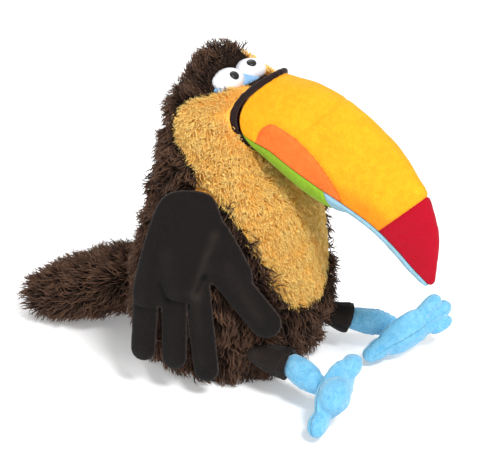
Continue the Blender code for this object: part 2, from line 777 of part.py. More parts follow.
def seam_prism(name, seam, beyond, width=0.08, shift=0.0):
    """Everything beyond a seam line in side view, shift further out."""
    first, second = Vector(seam[0]), Vector(seam[1])
    along = (second - first).normalized()
    outward = Vector((-along.y, along.x))
    if outward.dot(Vector(beyond)) < 0:
        outward = -outward
    first, second = first - along * 0.1, second + along * 0.1
    corners = [first + outward * shift, second + outward * shift]
    corners += [second + outward * 0.3, first + outward * 0.3]
    outline = [tuple(corner) for corner in corners]
    return prism(name, outline, -width, width, lambda y, z, x: Vector((x, y, z)))


def pocket_rings(half_beak, floor, pocket, inset):
    """Oval sections of a pocket that lies along the mouth, then its rounded end."""
    ridge, way = half_beak
    width, height, count = pocket
    centres, rings = [], []
    for i in range(count):
        surface, normal, half = mouth_frame(i / STATIONS)
        rise = Vector((0.0, *curve_at(ridge, i / STATIONS))) - surface
        up = rise.normalized()
        low = floor / up.dot(normal * way)
        half_height = (rise.length - low) * height / 2
        centres.append(surface + up * (low + half_height))
        wide, tall = half * width - inset, half_height - inset
        angles = [math.tau * k / ARCH for k in range(ARCH)]
        side = Vector((1.0, 0.0, 0.0))
        rings.append([centres[-1] + side * wide * math.cos(a) + up * tall * math.sin(a) for a in angles])
    ahead = (centres[-1] - centres[-2]).normalized()
    return centres, rings + [[centres[-1] + ahead * (POCKET_NOSE - inset)]]


def build_beak_half(names, ridge, way, seam, pocket, layers, ring_span):
    """One half of the beak about the mouth hinge; way is 1 for the upper half, -1 for the lower."""
    origin = MOUTH_HINGE
    beyond = (-0.3, -1.0)
    half_beak = (ridge, way)
    shares = [i / STATIONS for i in range(STATIONS + 1)]
    lining_count, plate_count, filling_count = layers
    body = shares[:COVER_STATIONS]

    outer = beak_grid(half_beak, MOUTH_GAP, 0.0, body)
    inner = beak_grid(half_beak, MOUTH_GAP, BEAK_WALL, body)
    sheet = thick_sheet(names["cover"], outer, inner)
    cover = add_piece(names["cover"], sheet, names["cover_material"], origin)
    beyond_seam = seam_prism(names["cover"] + "_end", seam, beyond, shift=-SEAM_GAP)
    combine(cover, add_cutter(names["cover"] + "_end", beyond_seam), "DIFFERENCE")

    tip_floor = MOUTH_GAP + (0.0 if way > 0 else LINING + 2 * FIT_GAP)
    rings = beak_grid(half_beak, tip_floor, 0.0, shares[TIP_START:])
    forwards = (rings[-1][0] - rings[-2][0]).normalized()
    tip_point = sum(rings[-1], Vector()) / len(rings[-1]) + forwards * TIP_NOSE
    tip_point.x = 0.0
    tip = add_piece(names["tip"], solid(names["tip"], rings + [[tip_point]]), names["tip_material"], origin)
    seam_end = add_cutter(names["tip"] + "_start", seam_prism(names["tip"] + "_start", seam, beyond))
    combine(tip, seam_end, "INTERSECT")

    layer = MOUTH_GAP
    inset = BEAK_WALL + FIT_GAP
    low, high = sorted((way * layer, way * (layer + LINING)))
    sheet = beak_sheet(names["lining"], low, high, inset, shares[:lining_count])
    lining = add_piece(names["lining"], sheet, LINING_CLOTH, origin)
    if way > 0:
        combine(lining, bpy.data.objects[names["cover"] + "_end"], "DIFFERENCE")

    layer += LINING + FIT_GAP
    low, high = sorted((way * layer, way * (layer + PLATE)))
    sheet = beak_sheet(names["plate"], low, high, inset + PLATE_INSET, shares[1:plate_count])
    add_piece(names["plate"], sheet, STIFF_PLATE, origin)

    layer += PLATE + FIT_GAP
    rings = beak_grid(half_beak, layer, BEAK_WALL + FILLING_GAP, shares[:filling_count])
    mesh = solid(names["filling"], rings)
    filling = add_piece(names["filling"], mesh, STUFFING, origin)
    combine(filling, bpy.data.objects[names["cover"] + "_end"], "DIFFERENCE")
    floor = layer + POCKET_FLOOR
    centres, room = pocket_rings(half_beak, floor, pocket, 0.0)
    behind = (centres[0] - centres[1]) * POCKET_MOUTH
    cavity = solid(names["filling"] + "_room", [[point + behind for point in room[0]]] + room)
    combine(filling, add_cutter(names["filling"] + "_room", cavity), "DIFFERENCE")
    outside = pocket_rings(half_beak, floor, pocket, POCKET_GAP)[1]
    inside = pocket_rings(half_beak, floor, pocket, POCKET_GAP + POCKET_CLOTH)[1]
    add_piece(names["pocket"], hollow(names["pocket"], outside, inside), LINING_CLOTH, origin)

    first, last = ring_span
    points = [ring_point(first + (last - first) * i / RING_STEPS) for i in range(RING_STEPS + 1)]
    curve = bpy.data.curves.new(names["ring"], "CURVE")
    curve.dimensions = "3D"
    curve.bevel_depth = RING_RADIUS
    curve.bevel_resolution = 1
    curve.use_fill_caps = True
    spline = curve.splines.new("POLY")
    spline.points.add(len(points) - 1)
    for slot, point in zip(spline.points, points):
        slot.co = (*(point - origin), 1.0)
    curve.materials.append(PIPING)
    ring = bpy.data.objects.new(names["ring"], curve)
    ring.location = origin
    ring.parent = seat
    bpy.context.scene.collection.objects.link(ring)
    return cover


def build_beak():
    hinge_angle = math.acos((MOUTH_HINGE.z - RING_CENTRE_Z) / RING_HALF_HEIGHT)
    apart = (RING_RADIUS + FIT_GAP) / RING_HALF_HEIGHT * 0.9
    upper = {
        "cover": "upper_beak_cover",
        "cover_material": BEAK_YELLOW,
        "tip": "upper_beak_tip",
        "tip_material": BEAK_RED,
        "lining": "upper_mouth_lining",
        "plate": "upper_palate_plate",
        "filling": "upper_beak_filling",
        "pocket": "finger_pocket",
        "ring": "upper_beak_ring",
    }
    span = (-hinge_angle + apart, hinge_angle - apart)
    cover = build_beak_half(upper, CULMEN, 1, RED_SEAM, FINGER_POCKET, UPPER_LAYERS, span)
    lower = {
        "cover": "lower_beak_base",
        "cover_material": BEAK_GREEN,
        "tip": "lower_beak_tip",
        "tip_material": BEAK_BLUE,
        "lining": "lower_mouth_lining",
        "plate": "lower_palate_plate",
        "filling": "lower_beak_filling",
        "pocket": "thumb_pocket",
        "ring": "lower_beak_ring",
    }
    span = (hinge_angle + apart, math.tau - hinge_angle - apart)
    build_beak_half(lower, KEEL, -1, GREEN_SEAM, THUMB_POCKET, LOWER_LAYERS, span)

    shares = [i / STATIONS for i in range(COVER_STATIONS)]
    for side, sign in (("right", -1), ("left", 1)):
        width = sorted((0.0, sign * 0.08))
        half_beak = (CULMEN, 1)
        outer = beak_grid(half_beak, MOUTH_GAP, 0.0, shares)
        inner = beak_grid(half_beak, MOUTH_GAP, BEAK_WALL, shares)
        name = f"{side}_beak_patch"
        patch = add_piece(name, thick_sheet(name, outer, inner), BEAK_ORANGE, MOUTH_HINGE)
        shape = prism(name + "_shape", PATCH_OUTLINE, *width, lambda y, z, x: Vector((x, y, z)))
        combine(patch, add_cutter(name + "_shape", shape), "INTERSECT")
        wide = grown(PATCH_OUTLINE, SEAM_GAP)
        shape = prism(name + "_hole", wide, *width, lambda y, z, x: Vector((x, y, z)))
        combine(cover, add_cutter(name + "_hole", shape), "DIFFERENCE")


def wing_frame(sign, turn):
    """The wing plane: its origin under the shoulder, then forwards, down and outwards."""
    outward = Vector((sign * math.cos(turn), -math.sin(turn), 0.0))
    forward = Vector((-sign * math.sin(turn), -math.cos(turn), 0.0))
    down = Vector((0, 0, -1)) * math.cos(WING_TILT) + outward * math.sin(WING_TILT)
    face = outward * math.cos(WING_TILT) + Vector((0, 0, 1)) * math.sin(WING_TILT)
    origin = outward * WING_REACH + Vector((0, 0, WING_TOP))
    return origin, forward, down, face


def pillow(name, outline, thickness, frame):
    """A flat stuffed shape: the outline, drawn in towards its two faces."""
    origin, forward, down, face = frame
    rings = []
    for level, inset in PILLOW_SECTION:
        line = grown(outline, -inset)
        rings.append([origin + forward * u + down * v + face * thickness * level for u, v in line])
    return solid(name, rings)


def finger_outline(base, tip, half):
    base, tip = Vector(base), Vector(tip)
    along = (tip - base).normalized()
    across = Vector((-along.y, along.x))
    centre = tip - along * half
    points = [base + across * half * 0.8, base + along * half * 0.2 + across * half]
    for i in range(7):
        angle = math.pi / 2 - math.pi * i / 6
        points.append(centre + across * half * math.sin(angle) + along * half * math.cos(angle))
    points += [base + along * half * 0.2 - across * half, base - across * half * 0.8]
    return [tuple(point) for point in points]


def build_wings():
    for side, sign in (("right", -1), ("left", 1)):
        frame = wing_frame(sign, WING_TURNS[side])
        origin, forward, down, face = frame
        shoulder = origin + down * WING_HINGE_V - face * WING_THICKNESS / 2
        name = f"{side}_wing"
        add_piece(name, pillow(name, WING_PALM, WING_THICKNESS, frame), WING_BLACK, shoulder)
        for finger, base, tip, half in FINGERS:
            knuckle = origin + forward * base[0] + down * base[1]
            name = f"{side}_{finger}"
            mesh = pillow(name, finger_outline(base, tip, half), WING_THICKNESS, frame)
            add_piece(name, mesh, WING_BLACK, knuckle)


def build_legs():
    for side, (hip, knee, ankle, forward, sole, toes) in LEGS.items():
        along = (knee - hip).normalized()
        name = f"{side}_thigh"
        points, radii = [], []
        for k in range(BALL_STEPS + 1):
            angle = math.pi / 2 * k / BALL_STEPS
            points.append(hip - along * HIP_RADIUS * math.cos(angle))
            radii.append(HIP_RADIUS * math.sin(angle))
        for share in (0.4, 0.8, 0.96, 1.0):
            points.append(hip + (knee - along * CUFF_SETBACK - hip) * share)
            radii.append(HIP_RADIUS + (CUFF_RADIUS - HIP_RADIUS) * min(share * 1.25, 1.0))
        points.append(knee - along * (CUFF_SETBACK - FIT_GAP))
        radii.append(0.0)
        thigh = add_piece(name, sweep(name, points, radii, radii), WING_BLACK, hip)
        ball = KNEE_RADIUS + KNEE_GAP
        socket = ellipsoid(f"{side}_knee_socket", knee, Vector((ball, ball, ball)))
        combine(thigh, add_cutter(f"{side}_knee_socket", socket), "DIFFERENCE")

        name = f"{side}_shin"
        mesh = rounded_bar(name, knee, ankle, KNEE_RADIUS, ANKLE_RADIUS, SHIN_BULGE, SHIN_WAISTS)
        add_piece(name, mesh, FOOT_BLUE, knee)

        forward = forward.normalized()
        sole = (sole - forward * sole.dot(forward)).normalized()
        across = sole.cross(forward)
        turn = Matrix((forward, across, sole)).transposed()
        centre = ankle + sole * (ANKLE_RADIUS + FIT_GAP * 2 + FOOT_PALM.z)
        name = f"{side}_foot"
        foot = add_piece(name, ellipsoid(name, centre, FOOT_PALM, turn=turn), FOOT_BLUE, ankle)
        for toe, reach in zip(TOE_NAMES, toes):
            reach = Vector(reach)
            reach -= reach.normalized() * TOE_RADIUS
            start, end = centre + turn @ (reach * 0.35), centre + turn @ reach
            toe = f"{side}_{toe}"
            mesh = rounded_bar(toe, start, end, TOE_RADIUS, TOE_RADIUS, 0.0, 0, TOE_SIDES, sole)
            combine(foot, add_cutter(toe, mesh), "UNION")


def build_tail():
    count = TAIL_STEPS
    points, wide, tall = [], [], []
    for i in range(count + 1):
        share = i / count
        points.append(curve_at(TAIL_PATH, share))
        wide.append(curve_at([(w, 0.0) for w in TAIL_HALF_WIDTHS], share).x)
        tall.append(curve_at([(h, 0.0) for h in TAIL_HALF_HEIGHTS], share).x)
    first, last = points[0], points[-1]
    along = (points[-1] - points[-2]).normalized()
    root = first + (points[1] - first) * 0.06
    points = [first, root] + points[1:] + [last + along * TAIL_POINT]
    wide = [0.0, wide[0] * TAIL_ROOT] + wide[1:] + [0.0]
    tall = [0.0, tall[0] * TAIL_ROOT] + tall[1:] + [0.0]
    add_piece("tail", sweep("tail", points, wide, tall, ROUND), BROWN_PILE, TAIL_HINGE)


build_torso()
build_neck()
build_head()
build_beak()
build_wings()
build_legs()
build_tail()
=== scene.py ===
"""A seated toucan hand puppet with a moving mouth: its fur, velour and felt, on the CAD frame."""

import json
import math

import bmesh
import bpy
import numpy as np
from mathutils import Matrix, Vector, noise

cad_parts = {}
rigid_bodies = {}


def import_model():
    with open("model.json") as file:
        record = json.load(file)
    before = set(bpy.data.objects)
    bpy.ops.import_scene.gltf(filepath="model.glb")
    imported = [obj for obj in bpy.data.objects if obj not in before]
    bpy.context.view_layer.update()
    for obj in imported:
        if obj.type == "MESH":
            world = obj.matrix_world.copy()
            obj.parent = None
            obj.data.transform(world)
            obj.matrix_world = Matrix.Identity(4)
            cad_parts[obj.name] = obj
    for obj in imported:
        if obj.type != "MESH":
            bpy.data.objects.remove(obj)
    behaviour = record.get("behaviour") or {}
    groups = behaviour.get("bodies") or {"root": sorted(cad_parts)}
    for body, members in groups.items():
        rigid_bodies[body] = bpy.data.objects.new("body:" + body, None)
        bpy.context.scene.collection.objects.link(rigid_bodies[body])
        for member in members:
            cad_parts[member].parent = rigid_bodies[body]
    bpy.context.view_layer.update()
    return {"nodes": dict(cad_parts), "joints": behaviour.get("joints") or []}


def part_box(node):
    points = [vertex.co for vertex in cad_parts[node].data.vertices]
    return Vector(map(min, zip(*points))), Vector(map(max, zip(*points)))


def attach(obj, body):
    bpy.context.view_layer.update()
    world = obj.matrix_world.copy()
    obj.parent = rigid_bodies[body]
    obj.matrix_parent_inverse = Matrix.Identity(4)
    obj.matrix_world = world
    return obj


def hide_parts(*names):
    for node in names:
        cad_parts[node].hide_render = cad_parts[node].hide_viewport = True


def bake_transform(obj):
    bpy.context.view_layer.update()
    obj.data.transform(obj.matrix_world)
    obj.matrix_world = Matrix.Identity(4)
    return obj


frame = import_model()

NECK_JOINT = next(joint for joint in frame["joints"] if joint["name"] == "head_nod")
SEAT = np.array((NECK_JOINT["pos_m"][0], NECK_JOINT["pos_m"][1], 0.0))

# Body and head: height, half width, how far back and how far forward
FIGURE = (
    (0.000, 0.0640, 0.0770, -0.0510),
    (0.014, 0.0790, 0.0910, -0.0670),
    (0.040, 0.0910, 0.1010, -0.0810),
    (0.077, 0.0960, 0.1030, -0.0890),
    (0.117, 0.0930, 0.0970, -0.0890),
    (0.150, 0.0875, 0.0885, -0.0865),
    (0.178, 0.0825, 0.0825, -0.0825),
    (0.206, 0.0745, 0.0750, -0.0700),
    (0.224, 0.0670, 0.0700, -0.0520),
    (0.236, 0.0650, 0.0690, -0.0470),
    (0.252, 0.0625, 0.0665, -0.0450),
    (0.270, 0.0580, 0.0630, -0.0450),
    (0.288, 0.0500, 0.0540, -0.0450),
    (0.302, 0.0420, 0.0460, -0.0420),
    (0.315, 0.0340, 0.0430, -0.0360),
    (0.325, 0.0240, 0.0350, -0.0200),
    (0.331, 0.0120, 0.0270, 0.0040),
    (0.333, 0.0005, 0.0185, 0.0175),
)
BIB = (  # height and half width of the yellow belly
    (0.080, 0.000),
    (0.083, 0.016),
    (0.093, 0.034),
    (0.112, 0.048),
    (0.135, 0.056),
    (0.160, 0.061),
    (0.186, 0.066),
    (0.206, 0.069),
    (0.240, 0.070),
)
FACE_BACK = (  # height and y of the yellow face's back edge
    (0.196, -0.010),
    (0.200, 0.000),
    (0.232, 0.006),
    (0.244, 0.022),
    (0.256, 0.034),
    (0.270, 0.037),
    (0.284, 0.031),
    (0.297, 0.012),
    (0.305, -0.010),
    (0.318, -0.060),
)
RING_HALF_WIDTH, RING_HALF_HEIGHT, RING_MIDDLE = 0.043, 0.040, 0.281
RING_SIDE_Y, RING_DISH, RING_RADIUS, RING_SEAT = -0.024, 0.026, 0.0034, 0.0062
EYE_SIZE = np.array((0.0195, 0.0150, 0.0120))
EYE_CENTRE = np.array((0.0199, -0.0030, 0.3105))
PATCH_SIZE = np.array((0.0412, 0.0152, 0.0088))
PUPIL_AIMS = {"right": (-0.27, -0.74, 0.62), "left": (-0.44, -0.43, 0.79)}
PUPIL_RADIUS = 0.0055
CULMEN = (
    (-0.054, 0.320), (-0.084, 0.318), (-0.116, 0.309), (-0.148, 0.294), (-0.176, 0.275),
    (-0.201, 0.251), (-0.220, 0.222), (-0.232, 0.188), (-0.231, 0.144),
)
TOMIUM = (  # half width, y and z of the mouth's line
    (0.0400, -0.036, 0.268), (0.0400, -0.060, 0.257), (0.0380, -0.088, 0.241),
    (0.0340, -0.118, 0.225), (0.0290, -0.145, 0.211), (0.0220, -0.171, 0.194),
    (0.0160, -0.193, 0.174), (0.0095, -0.210, 0.154), (0.0030, -0.224, 0.138),
)
KEEL = (
    (-0.056, 0.243), (-0.070, 0.226), (-0.097, 0.207), (-0.124, 0.199), (-0.147, 0.197),
    (-0.168, 0.184), (-0.187, 0.166), (-0.204, 0.148), (-0.219, 0.135),
)
RED_SEAM = ((-0.217, 0.224), (-0.178, 0.187))
GREEN_SEAM = ((-0.118, 0.240), (-0.132, 0.180))
ORANGE_PATCH = (
    (-0.046, 0.250), (-0.050, 0.272), (-0.062, 0.283), (-0.074, 0.281), (-0.096, 0.270),
    (-0.119, 0.250), (-0.137, 0.226), (-0.142, 0.205), (-0.110, 0.205),
)
WING_TURNS = {"right": math.radians(22), "left": math.radians(-14)}
WING_TILT = math.radians(8.5)
WING_REACH, WING_TOP, WING_THICKNESS = 0.0915, 0.195, 0.012
WING_PALM = (
    (-0.060, -0.012), (-0.048, -0.022), (-0.024, -0.025), (-0.006, -0.021), (0.001, -0.006),
    (0.008, 0.014), (0.024, 0.044), (-0.009, 0.071), (-0.016, 0.084), (-0.027, 0.092),
    (-0.057, 0.099), (-0.087, 0.099), (-0.086, 0.076), (-0.078, 0.043), (-0.068, 0.008),
)
FINGERS = (
    ("finger_1", (-0.0135, 0.0925), (-0.0070, 0.1740), 0.0130),
    ("finger_2", (-0.0430, 0.1065), (-0.0420, 0.1640), 0.0130),
    ("finger_3", (-0.0735, 0.1075), (-0.0750, 0.1580), 0.0130),
    ("thumb", (0.0135, 0.0650), (0.0610, 0.1180), 0.0165),
)
KNUCKLE_ROOTS = {  # where each finger leaves the palm
    "finger_1": (-0.0200, 0.0720),
    "finger_2": (-0.0430, 0.0860),
    "finger_3": (-0.0725, 0.0860),
    "thumb": (-0.0010, 0.0480),
}
TORSO_END, COLLAR_MIDDLE, COLLAR_END = 0.200, 0.214, 0.228  # heights where the skin is divided
FIGURE_COLUMNS = 150
EYES_LOW = 0.296  # the height where the eyes' felt begins
LIP_HEIGHT = 0.267  # the height of the mouth's corners
TAIL_PATH = (
    (0.000, 0.1000, 0.062), (0.000, 0.1080, 0.060), (-0.008, 0.136, 0.054),
    (-0.020, 0.168, 0.045), (-0.034, 0.200, 0.035), (-0.048, 0.232, 0.025), (-0.050, 0.238, 0.0235),
)
TAIL_HALF_WIDTHS = (0.020, 0.026, 0.040, 0.043, 0.036, 0.017, 0.002)
TAIL_HALF_HEIGHTS = (0.015, 0.019, 0.021, 0.019, 0.016, 0.010, 0.002)


# ---------------------------------------------------------------- numbers and meshes
def smooth(table, at):
    """The other columns of a table of rows, on a smooth curve, at values of its first column."""
    table = np.asarray(table, float)
    x, y = table[:, 0], table[:, 1:]
    slope = np.gradient(y, x, axis=0)
    at = np.clip(np.asarray(at, float), x[0], x[-1])
    i = np.clip(np.searchsorted(x, at, side="right") - 1, 0, len(x) - 2)
    width = (x[i + 1] - x[i])[..., None]
    t = (at - x[i])[..., None] / width
    rise = y[i] * (1 + 2 * t) * (1 - t) ** 2 + y[i + 1] * t * t * (3 - 2 * t)
    return rise + width * (slope[i] * t * (1 - t) ** 2 + slope[i + 1] * t * t * (t - 1))


def along_curve(points, shares):
    """Points at shares, 0 to 1, of a smooth curve through evenly counted points."""
    rows = np.column_stack((np.linspace(0, 1, len(points)), np.asarray(points, float)))
    return smooth(rows, shares)


def ease(low, high, values):
    """0 below low, 1 above high, with a smooth rise between them."""
    t = np.clip((values - low) / (high - low), 0, 1)
    return t * t * (3 - 2 * t)


def seam_distance(seam, y, z):
    """Signed distance in side view to the line through a seam's two points, positive to the tip."""
    (y0, z0), (y1, z1) = seam
    length = math.hypot(y1 - y0, z1 - z0)
    side = ((y - y0) * (z1 - z0) - (z - z0) * (y1 - y0)) / length
    return side if (-0.3 - y0) * (z1 - z0) - (0.1 - z0) * (y1 - y0) > 0 else -side


def outline_distance(outline, y, z):
    """Signed distance to a closed outline, positive inside it."""
    points = np.asarray(outline, float)
    nearest = np.full(y.shape, 1e9)
    inside = np.zeros(y.shape, bool)
    for a, b in zip(points, np.roll(points, -1, axis=0)):
        edge = b - a
        t = np.clip(((y - a[0]) * edge[0] + (z - a[1]) * edge[1]) / edge.dot(edge), 0, 1)
        nearest = np.minimum(nearest, np.hypot(y - a[0] - t * edge[0], z - a[1] - t * edge[1]))
        spans = (a[1] > z) != (b[1] > z)
        inside ^= spans & (y < a[0] + (z - a[1]) / (edge[1] if edge[1] else 1e-9) * edge[0])
    return np.where(inside, nearest, -nearest)


def rounded(outline, steps=4):
    """A closed outline with its corners cut round."""
    points = np.asarray(outline, float)
    for _ in range(steps):
        ahead = np.roll(points, -1, axis=0)
        points = np.stack((0.75 * points + 0.25 * ahead, 0.25 * points + 0.75 * ahead), axis=1)
        points = points.reshape(-1, 2)
    return points


def grid_faces(rows, columns, closed):
    """Quads of a grid of points; closed joins each row's last point to its first."""
    across = columns if closed else columns - 1
    faces = []
    for i in range(rows - 1):
        for j in range(across):
            k = (j + 1) % columns
            low, high = i * columns, (i + 1) * columns
            faces.append((low + j, low + k, high + k, high + j))
    return faces


def turns_of(count):
    return np.linspace(0, 2 * math.pi, count, endpoint=False)


def unit(vector):
    return vector / np.linalg.norm(vector)


def units(rows):
    return rows / np.linalg.norm(rows, axis=1)[:, None]


def line_on(distance, width):
    """1 on a line, falling away over its width on both sides."""
    return np.exp(-((distance / width) ** 2))


def place_object(name, data):
    obj = bpy.data.objects.new(name, data)
    bpy.context.scene.collection.objects.link(obj)
    return obj


def wear(mesh, finish):
    """Gives a mesh its one material and smooth faces."""
    mesh.materials.clear()
    mesh.materials.append(finish)
    mesh.polygons.foreach_set("use_smooth", [True] * len(mesh.polygons))


def mesh_of(bm, name):
    mesh = bpy.data.meshes.new(name)
    bm.to_mesh(mesh)
    bm.free()
    return mesh


def turn_outwards(bm):
    bmesh.ops.remove_doubles(bm, verts=bm.verts, dist=1e-6)
    bmesh.ops.recalc_face_normals(bm, faces=bm.faces)


def make_piece(name, points, faces, finish):
    """A new object at the origin, its doubles merged and its faces turned outwards."""
    raw = bpy.data.meshes.new(name)
    raw.from_pydata([tuple(p) for p in np.asarray(points, float) + SEAT], [], faces)
    bm = bmesh.new()
    bm.from_mesh(raw)
    bpy.data.meshes.remove(raw)
    turn_outwards(bm)
    mesh = mesh_of(bm, name)
    wear(mesh, finish)
    return place_object(name, mesh)


def points_of(obj):
    """An object's points, seat taken away."""
    flat = np.empty(len(obj.data.vertices) * 3)
    obj.data.vertices.foreach_get("co", flat)
    return flat.reshape(-1, 3) - SEAT


def move_points(obj, points):
    """Puts an object's points at new places, given with the seat taken away."""
    obj.data.vertices.foreach_set("co", (points + SEAT).ravel())
    obj.data.update()


def normals_of(obj):
    """An object's directions outwards, one for each point."""
    flat = np.empty(len(obj.data.vertices) * 3)
    obj.data.vertices.foreach_get("normal", flat)
    return flat.reshape(-1, 3)


def store(obj, **numbers):
    """Writes a number, or a vector, for each point of an object's mesh."""
    for name, values in numbers.items():
        values = np.asarray(values, float)
        kind = "FLOAT_VECTOR" if values.ndim == 2 else "FLOAT"
        attribute = obj.data.attributes.new(name, kind, "POINT")
        attribute.data.foreach_set("vector" if values.ndim == 2 else "value", values.ravel())


def wander(points, scale, seed=0.0):
    """Smooth noise from -1 to 1 at each point, with waves about 1 / scale long."""
    shift = Vector((seed, seed * 1.7, -seed))
    return np.array([noise.noise(Vector(p) * scale + shift) for p in points])


def swept_rings(path, widths, heights, count, across):
    """Elliptical rings along a path, their first axis square to the direction across."""
    ahead = units(np.gradient(path, axis=0))
    side = units(np.cross(ahead, across))
    up = np.cross(side, ahead)
    turns = turns_of(count)
    return [p + w * np.cos(turns)[:, None] * s + t * np.sin(turns)[:, None] * u
            for p, w, t, s, u in zip(path, widths, heights, side, up)]


def closed_tube(rings):
    """Points and faces of a skin over rings of equal count, closed over its two ends."""
    rings = [np.asarray(ring, float) for ring in rings]
    count = len(rings[0])
    faces = grid_faces(len(rings), count, True)
    base = len(rings) * count
    faces += [(base, (j + 1) % count, j) for j in range(count)]
    last = (len(rings) - 1) * count
    faces += [(base + 1, last + j, last + (j + 1) % count) for j in range(count)]
    points = np.concatenate(rings + [rings[0].mean(axis=0)[None], rings[-1].mean(axis=0)[None]])
    return points, faces


def soft_union(name, nodes, voxel, passes, finish, extra=()):
    """One soft skin over copies of CAD solids and any extra solids, with its hollows smoothed."""
    bm = bmesh.new()
    for node in nodes:
        bm.from_mesh(frame["nodes"][node].data)
    for points, faces in extra:
        made = [bm.verts.new(Vector(p + SEAT)) for p in points]
        for face in faces:
            bm.faces.new([made[i] for i in face])
    turn_outwards(bm)
    obj = place_object(name, mesh_of(bm, name))
    remesh = obj.modifiers.new("voxels", "REMESH")
    remesh.mode, remesh.voxel_size = "VOXEL", voxel
    soften = obj.modifiers.new("soften", "SMOOTH")
    soften.factor, soften.iterations = 0.5, passes
    return plain_copy(obj, name, finish)


def plain_copy(obj, name, finish):
    """The evaluated object as a plain mesh; the source goes."""
    graph = bpy.context.evaluated_depsgraph_get()
    mesh = bpy.data.meshes.new_from_object(obj.evaluated_get(graph))
    old = obj.data
    bpy.data.objects.remove(obj)
    bpy.data.meshes.remove(old)
    mesh.name = name
    wear(mesh, finish)
    return place_object(name, mesh)


def parts_of(obj, masks, names):
    """New pieces from an object's faces, one for each mask of its faces; the source goes."""
    made = []
    for mask, name in zip(masks, names):
        bm = bmesh.new()
        bm.from_mesh(obj.data)
        bm.faces.ensure_lookup_table()
        gone = [bm.faces[i] for i in np.nonzero(~mask)[0]]
        bmesh.ops.delete(bm, geom=gone, context="FACES")
        mesh = mesh_of(bm, name)
        mesh.materials.clear()
        mesh.materials.append(obj.data.materials[0])
        made.append(place_object(name, mesh))
    bpy.data.objects.remove(obj)
    return made


def sew_on(piece, body, nodes=()):
    """Gives a piece its body and hides the CAD nodes it stands for."""
    if body:
        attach(piece, body)
    if nodes:
        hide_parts(*nodes)


# ---------------------------------------------------------------- materials
def colour(red, green, blue):
    """A colour given as 0 to 255, as the shader's linear numbers."""
    def line(value):
        value /= 255
        return value / 12.92 if value <= 0.04045 else ((value + 0.055) / 1.055) ** 2.4
    return (line(red), line(green), line(blue), 1.0)


class Wire:
    """A number from a material's nodes, for sums written as Python."""

    def __init__(self, finish, socket):
        self.finish, self.socket = finish, socket

    def math(self, operation, *values):
        return self.finish.node("ShaderNodeMath", {"operation": operation}, *values)

    def __add__(self, other):
        return self.math("ADD", self, other)

    def __sub__(self, other):
        return self.math("SUBTRACT", self, other)

    def __rsub__(self, other):
        return self.math("SUBTRACT", other, self)

    def __mul__(self, other):
        return self.math("MULTIPLY", self, other)

    def step(self, low, high):
        """0 below low, 1 above high, smooth between them."""
        settings = {"interpolation_type": "SMOOTHSTEP"}
        return self.finish.node("ShaderNodeMapRange", settings, self, low, high)

    __radd__, __rmul__ = __add__, __mul__


class Finish:
    """A material under construction."""

    def __init__(self, name, roughness, **constants):
        self.material = bpy.data.materials.new(name)
        self.material.use_nodes = True
        self.nodes = self.material.node_tree.nodes
        self.links = self.material.node_tree.links
        self.shader = self.nodes["Principled BSDF"]
        self.set(Roughness=roughness, Metallic=0.0, **constants)

    def set(self, **values):
        for name, value in values.items():
            self.join(value, self.shader.inputs[name.replace("_", " ")])

    def join(self, value, socket):
        if isinstance(value, Wire):
            self.links.new(value.socket, socket)
        elif value is not None:
            socket.default_value = value

    def node(self, kind, settings=None, *values, out=0, **named):
        """A node: its settings first, then its sockets in order or by name, and its output."""
        made = self.nodes.new(kind)
        for name, value in (settings or {}).items():
            if name == "stops":
                while len(made.color_ramp.elements) < len(value):
                    made.color_ramp.elements.new(0.5)
                for element, (place, shade) in zip(made.color_ramp.elements, value):
                    element.position, element.color = place, shade
            else:
                setattr(made, name, value)
        for socket, value in zip(made.inputs, values):
            self.join(value, socket)
        for name, value in named.items():
            self.join(value, made.inputs[name.replace("_", " ")])
        return Wire(self, made.outputs[out])

    def place(self):
        return self.node("ShaderNodeTexCoord", out="Object")

    def stored(self, name):
        return self.node("ShaderNodeAttribute", {"attribute_name": name}, out="Fac")

    def noise(self, scale, detail=2.0, **named):
        return self.node("ShaderNodeTexNoise", None, Vector=self.place(), Scale=scale,
                         Detail=detail, **named)

    def mix(self, share, first, second, blend_type="MIX"):
        made = self.nodes.new("ShaderNodeMix")
        made.data_type, made.blend_type = "RGBA", blend_type
        for socket, value in zip((made.inputs[0], made.inputs[6], made.inputs[7]),
                                 (share, first, second)):
            self.join(value, socket)
        return Wire(self, made.outputs[2])

    def bump(self, height, strength, distance):
        return self.node("ShaderNodeBump", None, Strength=strength, Distance=distance,
                         Height=height)


def shade_of(base, share):
    """A colour made darker, by a share below 1, or lighter."""
    return tuple(min(c * share, 1.0) for c in base[:3]) + (1.0,)


def velour(name, base, seams_and_painted_light=(), brushed_tint=(0.70, 0.66, 0.62, 1.0), sheen=0.35, nap=0.6):
    """Short-napped velour: the nap is brushed one way in patches and the other way between them.

    Each entry is an attribute, the colour it brings, and where the change begins and ends: seams,
    panels and the mouth's lining in their own colours on the beak and feet, painted shade on the
    upper beak's underside, and painted highlights on the glove's folds and rims with painted shade
    in its creases.
    """
    finish = Finish(name, 0.86, Sheen_Weight=sheen, Sheen_Roughness=0.38, Specular_IOR_Level=0.2)
    shade = base
    for attribute, other, low, high in seams_and_painted_light:
        shade = finish.mix(finish.stored(attribute).step(low, high), shade, other)
    broad = finish.noise(55.0, 4.0, Distortion=0.8).step(0.34, 0.66)
    patchy = finish.noise(190.0, 4.0, Distortion=0.5).step(0.32, 0.68)
    fine = finish.noise(650.0, 2.0).step(0.25, 0.75)
    deep = finish.mix(1.0, shade, brushed_tint, "MULTIPLY")
    tone = broad * 0.26 + patchy * 0.40 + fine * 0.34
    finish.set(Base_Color=finish.mix(tone, deep, shade))
    height = patchy * 0.5 + fine * 0.6 + finish.noise(1900.0, 1.0) * 0.35
    finish.set(Normal=finish.bump(height, nap, 0.0009))
    return finish.material


